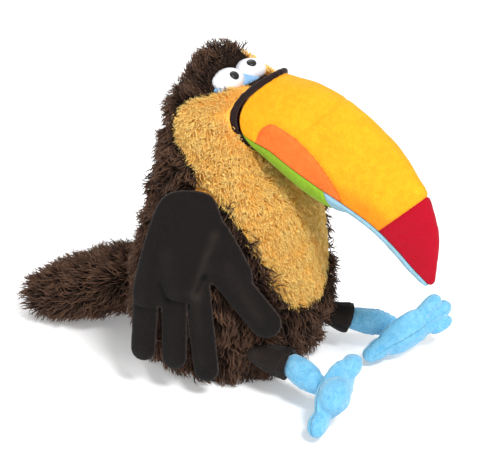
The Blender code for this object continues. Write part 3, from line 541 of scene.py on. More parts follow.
def pile(name, root, middle, tip, stray):
    """Long pile, dark at the root and lighter to the tip: partly the fur's own lighter tips, partly
    painted shade at the root and painted highlight at the tip; a tone for each lock.
    """
    finish = Finish(name, 0.72, Sheen_Weight=0.04, Sheen_Roughness=0.5, Specular_IOR_Level=0.18)
    height = finish.stored("along")
    lock = finish.stored("tone")
    body = finish.node("ShaderNodeValToRGB", {"stops": ((0.0, root), (0.45, middle), (1.0, tip))},
                       height)
    patch = finish.noise(45.0, 2.0).step(0.35, 0.70)
    tinted = finish.mix((lock * 0.6 + patch * 0.4).step(0.25, 1.0) * 0.75, body, stray)
    finish.set(Base_Color=tinted)
    strands = finish.noise(1500.0, 1.0)
    finish.set(Normal=finish.bump(strands, 0.4, 0.0005))
    return finish.material


WHITE = (1.0, 1.0, 1.0, 1.0)
FLOOR_GLOW = 0.22
# Pile colours from root to tip: partly the fur's own lighter tips, partly painted shade at the
# roots and painted highlight at the tips.
BROWN_ROOT, BROWN_MIDDLE = colour(18, 9, 5), colour(60, 38, 26)
BROWN_TIP, BROWN_STRAY = colour(124, 90, 68), colour(30, 17, 10)
GOLD_ROOT, GOLD_MIDDLE = colour(255, 190, 84), colour(255, 206, 104)
GOLD_TIP, GOLD_STRAY = colour(255, 230, 152), colour(255, 190, 84)
# BEAK_AMBER is partly the beak's own amber tint and partly painted shade along the lower part of
# the upper beak, near the mouth.
BEAK_YELLOW, BEAK_AMBER = colour(250, 182, 26), colour(240, 142, 24)
BEAK_ORANGE, BEAK_RED = colour(238, 118, 48), colour(172, 0, 34)
BEAK_GREEN, BEAK_BLUE = colour(132, 178, 44), colour(138, 186, 210)
FOOT_BLUE, MOUTH_DARK = colour(134, 198, 230), colour(60, 30, 26)
# The grey beside the black is a painted sheen highlight along the rims of the gloves and thigh
# cuffs.
WING_BLACK, RIM_SHEEN_GREY = colour(18, 12, 11), colour(74, 62, 56)


def make_under_fur():
    """The cloth under the locks: brown, yellow on the bib and face, dark in the mouth."""
    finish = Finish("under_fur", 0.95, Specular_IOR_Level=0.1)
    gold = finish.stored("gold").step(0.35, 0.65)
    cloth = finish.noise(800.0, 2.0).step(0.3, 0.7)
    brown = finish.mix(cloth, colour(14, 9, 6), colour(40, 28, 20))
    yellow = finish.mix(cloth, colour(246, 170, 66), colour(255, 194, 92))
    shade = finish.mix(finish.stored("mouth").step(0.4, 0.6), finish.mix(gold, brown, yellow),
                       MOUTH_DARK)
    finish.set(Base_Color=shade, Normal=finish.bump(cloth, 0.5, 0.0008))
    return finish.material


def make_satin(name, base):
    """Smooth shiny cloth, a little darker in its weave."""
    finish = Finish(name, 0.42, Sheen_Weight=0.1, Specular_IOR_Level=0.45)
    weave = finish.noise(1600.0, 2.0)
    finish.set(Base_Color=finish.mix(weave.step(0.2, 0.8), shade_of(base, 0.9), base))
    finish.set(Normal=finish.bump(weave, 0.12, 0.0004))
    return finish.material


def make_felt(name, base):
    """Matted felt with soft pale and dark places."""
    finish = Finish(name, 0.95, Sheen_Weight=0.25, Sheen_Roughness=0.5, Specular_IOR_Level=0.15)
    matted = finish.noise(420.0, 5.0, Distortion=1.2).step(0.3, 0.72)
    finish.set(Base_Color=finish.mix(matted, shade_of(base, 0.78), shade_of(base, 1.1)))
    finish.set(Normal=finish.bump(matted, 0.6, 0.0007))
    return finish.material


def make_woven(name, base):
    """Plain woven cloth, threads 0.7 mm apart."""
    finish = Finish(name, 0.85, Specular_IOR_Level=0.2)
    threads = []
    for direction in ("X", "Y", "Z"):
        settings = {"wave_type": "BANDS", "bands_direction": direction, "wave_profile": "SIN"}
        threads.append(finish.node("ShaderNodeTexWave", settings, out="Fac", Vector=finish.place(),
                                   Scale=450.0, Distortion=0.6))
    weave = threads[0] * threads[1] + threads[2] * 0.5
    patchy = finish.noise(60.0, 3.0)
    finish.set(Base_Color=finish.mix((weave * 0.6 + patchy * 0.4).step(0.1, 0.9),
                                     shade_of(base, 0.6), shade_of(base, 1.25)))
    finish.set(Normal=finish.bump(weave, 0.5, 0.0004))
    return finish.material


def make_pale_floor():
    """The floor, with a little light of its own."""
    finish = Finish("pale_floor", 0.9, Specular_IOR_Level=0.0)
    grain = finish.noise(3.0, 2.0)
    finish.set(Emission_Color=WHITE, Emission_Strength=FLOOR_GLOW)
    finish.set(Base_Color=finish.mix(grain, (0.965, 0.965, 0.965, 1.0), (0.985, 0.985, 0.985, 1.0)))
    return finish.material


UNDER_FUR = make_under_fur()
BROWN_PILE = pile("brown_long_pile", BROWN_ROOT, BROWN_MIDDLE, BROWN_TIP, BROWN_STRAY)
GOLD_PILE = pile("golden_curly_pile", GOLD_ROOT, GOLD_MIDDLE, GOLD_TIP, GOLD_STRAY)
BEAK_CLOTH = velour("beak_velour", BEAK_YELLOW, (
    ("amber", BEAK_AMBER, 0.0, 1.0), ("orange", BEAK_ORANGE, 0.42, 0.58),
    ("green", BEAK_GREEN, 0.42, 0.58), ("blue", BEAK_BLUE, 0.42, 0.58),
    ("red", BEAK_RED, 0.42, 0.58), ("mouth", MOUTH_DARK, 0.42, 0.58)),
    (0.94, 0.76, 0.64, 1.0), 0.08, 0.65)
# ridge is a painted highlight on the glove's raised folds, crease a painted shade in its creases,
# edge a painted sheen highlight along the rims.
WING_CLOTH = velour("black_velour", WING_BLACK, (
    ("ridge", colour(44, 36, 32), 0.05, 1.2), ("crease", colour(4, 2, 2), 0.10, 0.9),
    ("edge", RIM_SHEEN_GREY, 0.1, 0.9)), (0.52, 0.50, 0.48, 1.0), 0.07, 0.75)
FOOT_CLOTH = velour("blue_velour", FOOT_BLUE, (("seam", shade_of(FOOT_BLUE, 0.62), 0.2, 0.9),),
                    (0.40, 0.68, 0.82, 1.0), 0.50, 0.9)
PIPING = velour("dark_piping", colour(38, 24, 23), (), (0.6, 0.6, 0.6, 1.0), 0.12)
EYE_WHITE = make_satin("white_satin", colour(242, 243, 250))
PUPIL_BLACK = make_satin("black_satin", colour(16, 15, 17))
EYE_FELT = make_felt("light_blue_felt", colour(142, 190, 236))
LINING = make_woven("lining_cloth", colour(40, 38, 40))
STUFFING = make_felt("polyester_stuffing", colour(232, 230, 222))
BOARD = make_woven("stiff_board", colour(176, 166, 148))


# ---------------------------------------------------------------- piles of locks
ASIDE_SEED, TWIST_SEED, LENGTH_SEED, TONE_SEED = 11, 5, 3, 7
LOCK_TWIST = 0.9  # the most that a lock turns about its own length, each way
FLOOR_GAP = 0.0005  # no lock's point is lower


class Tree:
    """A Geometry Nodes tree under construction, with named inputs."""

    def __init__(self, name, inputs):
        self.group = bpy.data.node_groups.new(name, "GeometryNodeTree")
        face = self.group.interface
        face.new_socket(name="Geometry", in_out="INPUT", socket_type="NodeSocketGeometry")
        face.new_socket(name="Geometry", in_out="OUTPUT", socket_type="NodeSocketGeometry")
        self.ids = {}
        for label, kind in inputs.items():
            item = face.new_socket(name=label, in_out="INPUT", socket_type=kind)
            self.ids[label] = item.identifier
        self.start = self.group.nodes.new("NodeGroupInput")
        self.end = self.group.nodes.new("NodeGroupOutput")

    def join(self, value, socket):
        if isinstance(value, bpy.types.NodeSocket):
            self.group.links.new(value, socket)
        else:
            socket.default_value = value

    def node(self, kind, settings=None, inputs=None):
        made = self.group.nodes.new(kind)
        for name, value in (settings or {}).items():
            setattr(made, name, value)
        for key, value in (inputs or {}).items():
            self.join(value, made.inputs[key])
        return made

    def given(self, label):
        return self.start.outputs[label]

    def stored(self, name, kind="FLOAT"):
        return self.node("GeometryNodeInputNamedAttribute", {"data_type": kind},
                         {"Name": name}).outputs["Attribute"]

    def random(self, low, high, seed):
        """A number for each lock, between low and high."""
        return self.node("FunctionNodeRandomValue", {"data_type": "FLOAT"},
                         {2: low, 3: high, "Seed": seed}).outputs[1]

    def vector(self, operation, *values):
        return self.node("ShaderNodeVectorMath", {"operation": operation},
                         dict(enumerate(values))).outputs[0]

    def scaled(self, vector, number):
        return self.node("ShaderNodeVectorMath", {"operation": "SCALE"},
                         {0: vector, "Scale": number}).outputs[0]

    def math(self, operation, first, second):
        return self.node("ShaderNodeMath", {"operation": operation},
                         {0: first, 1: second}).outputs[0]


def make_pile_tree():
    """Locks on a skin: they follow its comb attribute, and lean together where noise says so."""
    tree = Tree("pile_of_locks", {
        "Density": "NodeSocketFloat", "Lay": "NodeSocketFloat", "Swirl": "NodeSocketFloat",
        "Swirl Size": "NodeSocketFloat", "Stray": "NodeSocketFloat", "Shortest": "NodeSocketFloat",
        "Longest": "NodeSocketFloat", "Seed": "NodeSocketInt", "Lock": "NodeSocketObject",
        "Pile": "NodeSocketMaterial"})
    thick = tree.math("MULTIPLY", tree.stored("cover"), tree.given("Density"))
    spread = tree.node("GeometryNodeDistributePointsOnFaces", {"distribute_method": "RANDOM"}, {
        "Mesh": tree.given("Geometry"), "Density": thick, "Seed": tree.given("Seed")})
    where = tree.node("GeometryNodeInputPosition").outputs[0]
    clump = tree.node("ShaderNodeTexNoise", {"noise_dimensions": "3D"}, {
        "Vector": where, "Scale": tree.given("Swirl Size"), "Detail": 1.0})
    sway = tree.scaled(tree.vector("SUBTRACT", clump.outputs["Color"], (0.5, 0.5, 0.5)),
                       tree.given("Swirl"))
    aside = tree.node("FunctionNodeRandomValue", {"data_type": "FLOAT_VECTOR"}, {
        0: (-1.0, -1.0, -1.0), 1: (1.0, 1.0, 1.0), "Seed": ASIDE_SEED})
    loose = tree.scaled(aside.outputs[0], tree.given("Stray"))
    upright = tree.scaled(spread.outputs["Normal"],
                          tree.math("SUBTRACT", 1.0, tree.given("Lay")))
    flat = tree.scaled(tree.stored("comb", "FLOAT_VECTOR"), tree.given("Lay"))
    lean = tree.vector("ADD", tree.vector("ADD", flat, upright), tree.vector("ADD", sway, loose))
    first = tree.node("FunctionNodeAlignRotationToVector", {"axis": "Z"}, {"Vector": lean})
    turned = tree.node("FunctionNodeAlignRotationToVector", {"axis": "X", "pivot_axis": "Z"}, {
        "Rotation": first.outputs[0], "Vector": spread.outputs["Normal"]})
    twist = tree.node("FunctionNodeAxisAngleToRotation", None, {
        "Axis": (0.0, 0.0, 1.0), "Angle": tree.random(-LOCK_TWIST, LOCK_TWIST, TWIST_SEED)})
    twisted = tree.node("FunctionNodeRotateRotation", {"rotation_space": "LOCAL"}, {
        "Rotation": turned.outputs[0], "Rotate By": twist.outputs[0]})
    length = tree.random(tree.given("Shortest"), tree.given("Longest"), LENGTH_SEED)
    lock = tree.node("GeometryNodeObjectInfo", {"transform_space": "ORIGINAL"}, {
        "Object": tree.given("Lock")})
    locks = tree.node("GeometryNodeInstanceOnPoints", None, {
        "Points": spread.outputs["Points"], "Instance": lock.outputs["Geometry"],
        "Rotation": twisted.outputs[0],
        "Scale": tree.math("MULTIPLY", length, tree.stored("long"))})
    toned = tree.node("GeometryNodeStoreNamedAttribute",
                      {"data_type": "FLOAT", "domain": "INSTANCE"}, {
                          "Geometry": locks.outputs[0], "Name": "tone",
                          "Value": tree.random(0.0, 1.0, TONE_SEED)})
    real = tree.node("GeometryNodeRealizeInstances", None, {"Geometry": toned.outputs[0]})
    apart = tree.node("ShaderNodeSeparateXYZ", None, {0: where})
    above = tree.math("MAXIMUM", apart.outputs[2], FLOOR_GAP)
    kept = tree.node("ShaderNodeCombineXYZ", None, {0: apart.outputs[0], 1: apart.outputs[1],
                                                    2: above})
    moved = tree.node("GeometryNodeSetPosition", None, {"Geometry": real.outputs[0],
                                                        "Position": kept.outputs[0]})
    final = tree.node("GeometryNodeSetMaterial", None, {"Geometry": moved.outputs[0],
                                                        "Material": tree.given("Pile")})
    tree.group.links.new(final.outputs[0], tree.end.inputs[0])
    return tree


def make_lock(name, length, radius, bend, curl, steps):
    """A tapering three-sided lock, from its root up Z, that bows out along X."""
    def lock_middle(t):
        return np.array((bend * math.sin(math.pi * t * 0.9), curl * math.sin(7.0 * t), length * t))

    rings = []
    for i in range(steps):
        t = i / steps
        middle = lock_middle(t)
        width = radius * (0.85 + 0.5 * t) * (1 - t) ** 0.45
        turn = [2 * math.pi * k / 3 for k in range(3)]
        rings.append([middle + width * np.array((math.cos(a), math.sin(a), 0.0)) for a in turn])
    points = [p for ring in rings for p in ring] + [lock_middle(1.0)]
    faces = grid_faces(steps, 3, True) + [(2, 1, 0)]
    last = (steps - 1) * 3
    faces += [(last + k, last + (k + 1) % 3, len(points) - 1) for k in range(3)]
    mesh = bpy.data.meshes.new(name)
    mesh.from_pydata([tuple(p) for p in points], [], faces)
    mesh.polygons.foreach_set("use_smooth", [True] * len(mesh.polygons))
    lock = place_object(name, mesh)
    store(lock, along=[i / steps for i in range(steps) for _ in range(3)] + [1.0])
    return lock


def grow(name, skin, cover, settings):
    """A plain mesh of locks grown on a skin where cover is above 0."""
    source = place_object(name, skin.data.copy())
    store(source, cover=cover)
    modifier = source.modifiers.new("pile", "NODES")
    modifier.node_group = PILE_TREE.group
    for label, value in settings.items():
        modifier[PILE_TREE.ids[label]] = value
    return plain_copy(source, name, settings["Pile"])


PILE_TREE = make_pile_tree()
LONG_LOCK = make_lock("long_lock", 0.0200, 0.00078, 0.0046, 0.0014, 4)
CURLY_LOCK = make_lock("curly_lock", 0.0080, 0.00050, 0.0028, 0.0010, 3)
BROWN_SETTINGS = {
    "Density": 270000.0, "Lay": 0.52, "Swirl": 3.6, "Swirl Size": 58.0, "Stray": 0.22,
    "Shortest": 0.55, "Longest": 1.15, "Seed": 4, "Lock": LONG_LOCK, "Pile": BROWN_PILE}
GOLD_SETTINGS = {
    "Density": 760000.0, "Lay": 0.48, "Swirl": 2.3, "Swirl Size": 105.0, "Stray": 0.24,
    "Shortest": 0.70, "Longest": 1.15, "Seed": 9, "Lock": CURLY_LOCK, "Pile": GOLD_PILE}


# ---------------------------------------------------------------- body and head
def ring_y(height):
    """How far forward the ring lies at a height: it dishes away above and below its middle."""
    rise = np.clip((height - RING_MIDDLE) / RING_HALF_HEIGHT, -1.0, 1.0)
    return RING_SIDE_Y - RING_DISH * rise * rise


def figure_points(heights, angles):
    """The figure's skin: angle 0 is the front, and it runs towards the puppet's left."""
    half, back, front = smooth(FIGURE, heights).T
    turn = np.asarray(angles)[None, :]
    half, back, front = half[:, None], back[:, None], front[:, None]
    high = np.asarray(heights)[:, None] + 0 * turn
    middle = np.where(front < 0.002, 0.004, (back + front) / 2)
    middle = middle * ease(0.0, 0.02, high + 0.02)
    x = half * np.sin(turn)
    depth = np.where(np.cos(turn) > 0, middle - front, back - middle)
    y = middle - depth * np.cos(turn)
    ringed = (high > 0.2395) & (high < 0.3225)
    inner = np.where(ringed, ring_y(high) + 0.0012, -1.0)
    y = np.maximum(y, inner)
    brow = 0.3060 + 0.0300 * ease(-0.002, 0.014, y) + 0.0110 * (1 - ease(-0.046, -0.026, y))
    high = np.where(high > 0.300, np.minimum(high, brow), high)
    return np.stack((x, y, high), axis=-1).reshape(-1, 3)


def gold_share(points):
    """1 on the yellow bib and face, 0 on the brown, about 2 mm to change."""
    x, y, z = points.T
    bib = smooth(BIB, z)[:, 0] - np.abs(x) - 0.0035 * wander(points, 60.0, 3.0)
    bib = np.where(y < 0, bib, -0.01)
    face = smooth(FACE_BACK, z)[:, 0] - y - 0.002 * wander(points, 60.0, 5.0)
    face = np.where(z > 0.316, -0.01, face)
    share = ease(0.198, 0.226, z)
    by_eyes = z > EYES_LOW
    face = np.where(by_eyes & (x > -0.014) & (x < 0.028) & (y < -0.010), -0.01, face)
    face = np.where(by_eyes & (x >= 0.028), 0.016 - y, face)
    edge = bib * (1 - share) + face * share
    return ease(-0.001, 0.001, edge) * (z > 0.080)


def comb_of(points, normals):
    """The way the pile lies: out and down the body, up and back over the crown."""
    x, y, z = points.T
    down = np.stack((x * 3.0, (y - 0.01) * 3.0, -np.ones_like(z) * 0.9), axis=1)
    side = np.stack((-y, x, 0 * z), axis=1) * 4.0 * wander(points, 14.0, 8.0)[:, None]
    crown = np.stack((x * 8.0, np.full_like(z, 0.9), np.full_like(z, 0.75)), axis=1)
    mouth = np.stack((np.sign(x) * 0.9, np.full_like(z, 0.35), -np.ones_like(z) * 0.5), axis=1)
    up = ease(0.262, 0.300, z)[:, None]
    comb = (down + side) * (1 - up) + crown * up
    near = (ease(-0.020, 0.012, y) * -1 + 1)[:, None] * ease(0.232, 0.250, z)[:, None] * (1 - up)
    comb = comb * (1 - near) + mouth * near
    comb -= normals * (comb * normals).sum(axis=1)[:, None] * 0.8
    return comb / np.linalg.norm(comb, axis=1)[:, None]


def ring_share(x, z):
    """1 on the ring seen from the front, less inside it."""
    return (x / RING_HALF_WIDTH) ** 2 + ((z - RING_MIDDLE) / RING_HALF_HEIGHT) ** 2


def in_mouth(points):
    """True on the part of the face inside the beak's ring."""
    x, y, z = points.T
    return (ring_share(x, z) < 0.92) & (y < ring_y(z) + 0.0042) & (np.abs(z - RING_MIDDLE) < 0.038)


def by_the_ring(points):
    """True on the edge of the face that lies against the beak's piping."""
    x, y, z = points.T
    return (y < ring_y(z) + 0.0065) & (ring_share(x, z) < 1.22) & (z > 0.225)


def under_wings(points):
    """True where a wing lies on the body, so that its pile is pressed short."""
    found = np.zeros(len(points), bool)
    for side, sign in (("right", -1), ("left", 1)):
        origin, forward, down, face = wing_axes(sign, WING_TURNS[side])
        local = points - origin
        u, v, out = local @ forward, local @ down, local @ face
        depth = np.max([shape(u, v) for _, shape in glove_shapes()], axis=0)
        found |= (depth > 0.0005) & (out > -0.045)
    return found


def under_eyes(points):
    """True where the eyes and their felt lie on the head."""
    x, y, z = points.T
    reach = ((x / 0.039) ** 2 + ((y - EYE_CENTRE[1]) / 0.0150) ** 2 + ((z - 0.3085) / 0.0145) ** 2)
    return reach < 1.0


def near_eyes(points):
    """True close round the eyes, where the pile is clipped short."""
    x, y, z = points.T
    reach = (x / 0.052) ** 2 + ((y - EYE_CENTRE[1]) / 0.024) ** 2 + ((z - 0.3075) / 0.023) ** 2
    return reach < 1.0


PRESSED_SHORT = 0.40  # of the pile's length, under a wing
CLIPPED_BY_RING, CLIPPED_BROW, CLIPPED_BY_EYES, LEFT_TUFT = 0.80, 0.60, 0.45, 1.5


def make_zone(name, heights):
    """A band of the figure's skin with what its piles need to know."""
    angles = turns_of(FIGURE_COLUMNS)
    points = figure_points(heights, angles)
    zone = make_piece(name, points, grid_faces(len(heights), len(angles), True), UNDER_FUR)
    if zone.data.polygons[0].normal.dot(zone.data.polygons[0].center - Vector((0, 0, 0.15))) < 0:
        zone.data.flip_normals()
    points = points_of(zone)
    x, y, z = points.T
    long = 1.0 - 0.30 * ease(0.262, 0.318, z)
    long *= np.where(under_wings(points), PRESSED_SHORT, 1.0)
    long = long * (1 - 0.35 * (1 - ease(0.015, 0.05, np.hypot(x, y + 0.04))) * (z > 0.29))
    gold = gold_share(points)
    on_brow = (z > 0.285) & (y < 0.006) & (np.abs(x) < 0.030)
    clipped = np.where((z > 0.24) & (y < ring_y(z) + 0.012), CLIPPED_BY_RING, 1.0)
    clipped = np.where(on_brow, CLIPPED_BROW, clipped)
    clipped = np.where(near_eyes(points) & (gold < 0.5), CLIPPED_BY_EYES, clipped)
    clipped = np.where((z > EYES_LOW) & (x > 0.028), LEFT_TUFT, clipped)
    store(zone, gold=gold, comb=comb_of(points, normals_of(zone)), long=long * clipped,
          mouth=in_mouth(points).astype(float))
    return zone


def number_of(obj, name):
    """A stored number for each point."""
    values = np.empty(len(obj.data.vertices))
    obj.data.attributes[name].data.foreach_get("value", values)
    return values


def furnish(zone, seat_on, brown_seed, gold_seed):
    """Grows the brown and the golden pile on a zone; seat_on is given the zone and each pile, and
    attaches them to a body or bakes them where they are.
    """
    points = points_of(zone)
    gold = number_of(zone, "gold")
    bare = in_mouth(points) | under_eyes(points) | by_the_ring(points)
    made = [zone]
    for label, share, settings, seed in (
        ("brown_pile", 1 - gold, BROWN_SETTINGS, brown_seed),
        ("golden_pile", gold, GOLD_SETTINGS, gold_seed),
    ):
        cover = np.where(bare, 0.0, share)
        if cover.max() > 0.01:
            locks = grow(f"{zone.name}_{label}", zone, cover, dict(settings, Seed=seed))
            if len(locks.data.polygons) > 0:
                made.append(locks)
            else:
                bpy.data.objects.remove(locks)
    for obj in made:
        seat_on(obj)
    return made


def face_centres(obj):
    return np.array([p.center for p in obj.data.polygons]) - SEAT


UPPER_CHEEK = (np.array((-0.020, 0.290)), np.array((-0.046, 0.300)))
LOWER_CHEEK = (np.array((-0.020, 0.262)), np.array((-0.040, 0.250)))


def cheek_share(points, cheek):
    """0 to 1 from the head to the beak along a cheek's line in side view."""
    start, end = cheek
    way = end - start
    return ((points[:, 1:] - start) @ way) / way.dot(way)


FRONT_EDGE, BACK_EDGE = 1.15, 2.35  # angles from the front, where the body's skin is divided


def build_figure():
    """The body's and the head's skin with their piles, divided where the joints are."""
    torso = make_zone("torso", np.linspace(0.0, TORSO_END, 66))
    centres = face_centres(torso)
    angle = np.arctan2(centres[:, 0], -centres[:, 1])
    zones = parts_of(torso, (
        np.abs(angle) < FRONT_EDGE,
        (angle <= -FRONT_EDGE) & (angle > -BACK_EDGE),
        (angle >= FRONT_EDGE) & (angle < BACK_EDGE),
        np.abs(angle) >= BACK_EDGE),
        ("torso_front", "torso_right_side", "torso_left_side", "torso_back"))
    sets = [furnish(zone, lambda obj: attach(obj, "torso"), 20 + k, 40 + k)
            for k, zone in enumerate(zones)]
    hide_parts("belly_panel")
    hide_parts("torso_cover")
    for name, below, above, low, high, seed in (
        ("collar_low", "torso", "neck", TORSO_END, COLLAR_MIDDLE, 50),
        ("collar_high", "neck", "head", COLLAR_MIDDLE, COLLAR_END, 52),
    ):
        collar = make_zone(name, np.linspace(low, high, 6))
        sets.append(furnish(collar, lambda obj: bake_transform(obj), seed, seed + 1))
    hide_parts("neck_cuff")
    heights = np.concatenate((np.linspace(COLLAR_END, 0.300, 37), np.linspace(0.3015, 0.325, 20),
                              0.333 - 0.008 * np.linspace(0.94, 0.0, 12) ** 2))
    head = make_zone("head", heights)
    centres = face_centres(head)
    high = centres[:, 2] > LIP_HEIGHT
    upper = high & (cheek_share(centres, UPPER_CHEEK) > -0.04)
    lower = ~high & (cheek_share(centres, LOWER_CHEEK) > -0.04)
    rest, upper_cheek, lower_cheek = parts_of(
        head, (~(upper | lower), upper, lower), ("head_skin", "upper_cheek", "lower_cheek"))
    sets.append(furnish(rest, lambda obj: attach(obj, "head"), 60, 61))
    for zone, body, cheek, seed in ((upper_cheek, "upper_beak", UPPER_CHEEK, 62),
                                    (lower_cheek, "jaw", LOWER_CHEEK, 64)):
        sets.append(furnish(zone, lambda obj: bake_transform(obj),
                            seed, seed + 1))
    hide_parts("head_cover", "face_panel", "head_stuffing")


def build_tail():
    """The flat fur wedge behind, which lies on the floor."""
    shares = np.linspace(0, 1, 60) ** 0.9
    path = along_curve(TAIL_PATH, shares)
    wide = along_curve([(w,) for w in TAIL_HALF_WIDTHS], shares)[:, 0]
    tall = along_curve([(h,) for h in TAIL_HALF_HEIGHTS], shares)[:, 0]
    points, faces = closed_tube(swept_rings(path, wide, tall, 40, (0, 0, 1.0)))
    points[:, 2] = np.maximum(points[:, 2], 0.0006)
    tail = make_piece("tail_skin", points, faces, UNDER_FUR)
    points, normals = points_of(tail), normals_of(tail)
    comb = np.array((-0.22, 0.95, -0.30)) + 0.9 * normals * np.array((1.0, 0.2, 0.6))
    comb[:, 2] = np.where(points[:, 2] < 0.012, np.maximum(comb[:, 2], 0.0), comb[:, 2])
    comb /= np.linalg.norm(comb, axis=1)[:, None]
    clear = np.zeros(len(points))
    store(tail, gold=clear, mouth=clear, comb=comb, long=clear + 1.0)
    cover = np.where(points[:, 1] > 0.100, 1.0, 0.0)
    locks = grow("tail_brown_pile", tail, cover, dict(BROWN_SETTINGS, Seed=70, Swirl=2.6))
    sew_on(tail, "tail", ("tail",))
    sew_on(locks, "tail")


# ---------------------------------------------------------------- beak
MOUTH_GAP = 0.0004  # from the closed mouth's surface to each half of the beak
FOLDS = (  # share along the beak, lean, width, depth, height above the mouth
    (0.17, 0.05, 0.010, 0.0016, 0.050),
    (0.33, -0.06, 0.013, 0.0011, 0.045),
    (0.47, 0.08, 0.014, 0.0010, 0.030),
    (0.60, -0.05, 0.012, 0.0011, 0.036),
    (0.71, 0.06, 0.012, 0.0008, 0.024),
)


def mouth_frame(shares):
    """Points on the mouth's surface, the way out of it, and half its width."""
    half, y, z = along_curve(TOMIUM, shares).T
    before, after = along_curve(TOMIUM, shares - 0.02), along_curve(TOMIUM, shares + 0.02)
    along = units((after - before)[:, 1:])
    flat = 0 * y
    return np.stack((flat, y, z), axis=1), np.stack((flat, along[:, 1], -along[:, 0]), axis=1), half


def beak_rings(ridge, way, shares, angles):
    """Rings over a half of the beak and back under it, along the mouth's surface."""
    surface, normal, half = mouth_frame(shares)
    normal = normal * way
    crest = np.column_stack((0 * shares, along_curve(ridge, shares)))
    middle = surface + normal * MOUTH_GAP
    rise = crest - middle
    tall = np.linalg.norm(rise, axis=1)[:, None]
    rise = rise / tall
    cosine, sine = np.cos(angles), np.maximum(np.sin(angles), 0.0)
    over = np.sin(angles) >= 0
    x = np.sign(cosine) * np.abs(cosine) ** 0.92
    x = np.where(over, x, cosine)
    x = x[None, :] * half[:, None]
    points = middle[:, None, :] + rise[:, None, :] * (tall * sine[None, :] ** 0.92)[:, :, None]
    height = ((points - surface[:, None, :]) * normal[:, None, :]).sum(axis=2)
    points = points + normal[:, None, :] * np.maximum(MOUTH_GAP - height, 0.0)[:, :, None]
    points[:, :, 0] = x
    near = np.maximum(1.0 - shares / 0.16, 0.0)[:, None]
    to_ring = ring_y(points[:, :, 2]) - RING_SEAT - points[:, :, 1]
    points[:, :, 1] += to_ring * near * near * (3 - 2 * near)
    return points


def edge_of(distance):
    """0.5 along an edge, rising to 1 on its inner side: the material makes the sharp line."""
    return np.clip(0.5 + distance / 0.004, 0.0, 1.0)


def build_beak_half(name, ridge, way, body, nodes):
    """A half of the beak with its seams, folds and colours; way is 1 above the mouth, -1 below."""
    shares = np.concatenate((np.linspace(0, 0.9, 200), 1 - 0.1 * np.linspace(1, 0, 40)[1:] ** 1.6))
    over = math.pi * (0.5 - 0.5 * np.cos(np.linspace(0, math.pi, 84)))
    over = 0.5 * over + 0.5 * np.linspace(0, math.pi, 84)
    under = np.linspace(math.pi, 2 * math.pi, 22)[1:-1]
    angles = np.concatenate((over, under))
    rings = beak_rings(ridge, way, shares, angles)
    behind = [rings[0] * np.array((s, 1, 1)) + np.array((0, b, 0))
              for s, b in ((0.80, 0.0035), (0.93, 0.0030), (0.985, 0.0012))]
    tip = rings[-1].mean(axis=0)
    noses = [tip + (rings[-1] - tip) * s + np.array((0, -0.35, -1.0)) * n * (1 if way > 0 else 0.6)
             for s, n in ((0.86, 0.0012), (0.55, 0.0026), (0.2, 0.0032))]
    points, faces = closed_tube(behind + list(rings) + noses)
    piece = make_piece(name, points, faces, BEAK_CLOTH)
    points, normals = points_of(piece), normals_of(piece)
    x, y, z = points.T
    surface, normal, _ = mouth_frame(np.linspace(0, 1, 400))
    reach = ((points[:, None, 1:] - surface[None, :, 1:]) ** 2).sum(axis=2).argmin(axis=1)
    height = ((points - surface[reach]) * normal[reach]).sum(axis=1) * way
    share = reach / 399
    inside = (height < 0.0011) & (np.abs(x) < mouth_frame(share)[2] * 0.93)
    mouth = np.where(inside, 1.0, 0.0)
    outer = ease(0.0006, 0.003, height)
    groove = np.zeros(len(points))
    puff = np.zeros(len(points))

    def seam(distance, depth, width=0.0011, swell=0.0008, reach_out=0.007):
        nonlocal groove, puff
        groove = groove + depth * line_on(distance, width)
        puff = puff + swell * np.exp(-((np.abs(distance) - reach_out) / reach_out) ** 2)

    numbers = {name: 0 * x for name in ("amber", "orange", "green", "blue", "red")}
    to_red = seam_distance(RED_SEAM, y, z)
    red_out = to_red + (0.002 if way > 0 else -0.001)
    if way > 0:
        patch = outline_distance(rounded(ORANGE_PATCH, 3), y, z)
        seam(patch, 0.0017)
        seam(red_out, 0.0018)
        numbers["orange"] = edge_of(patch)
        # A light amber tint all over, with random patches, is the beak's own colour; the stronger
        # amber near the mouth towards the tip is painted shade along the upper beak's underside.
        low = 1 - ease(0.006, 0.026, height)
        numbers["amber"] = 0.35 + 0.55 * low * ease(0.30, 0.55, share) + 0.10 * wander(points, 25.0)
        numbers["red"] = edge_of(red_out)
    else:
        to_green = -seam_distance(GREEN_SEAM, y, z)
        to_green = to_green if to_green[np.argmin(share)] > 0 else -to_green
        seam(to_green, 0.0013)
        numbers["green"] = edge_of(to_green)
        numbers["blue"] = 1 - numbers["green"]
    seam(np.abs(x), 0.0010 if way < 0 else 0.0, swell=0.0)
    wrinkle = 0.0008 * wander(points, 28.0, 2.0) + 0.00035 * wander(points * (1, 1, 1.6), 75.0, 6.0)
    folds = np.zeros(len(points))
    if way > 0:
        for place, lean, width, depth, span in FOLDS:
            line = share - place - lean * (height / 0.05)
            folds -= depth * line_on(line, width) * line_on(height - span, 0.022)
    else:
        puff = puff + 0.0013 * ease(0.35, 0.60, share)
    move = (puff + wrinkle + folds) * outer - groove * ease(0.0, 0.0015, height)
    move *= ease(0.0, 0.02, share) * (1 - 0.6 * ease(0.96, 1.0, share))
    move_points(piece, points + normals * move[:, None])
    store(piece, mouth=mouth, **numbers)
    sew_on(piece, body, nodes)


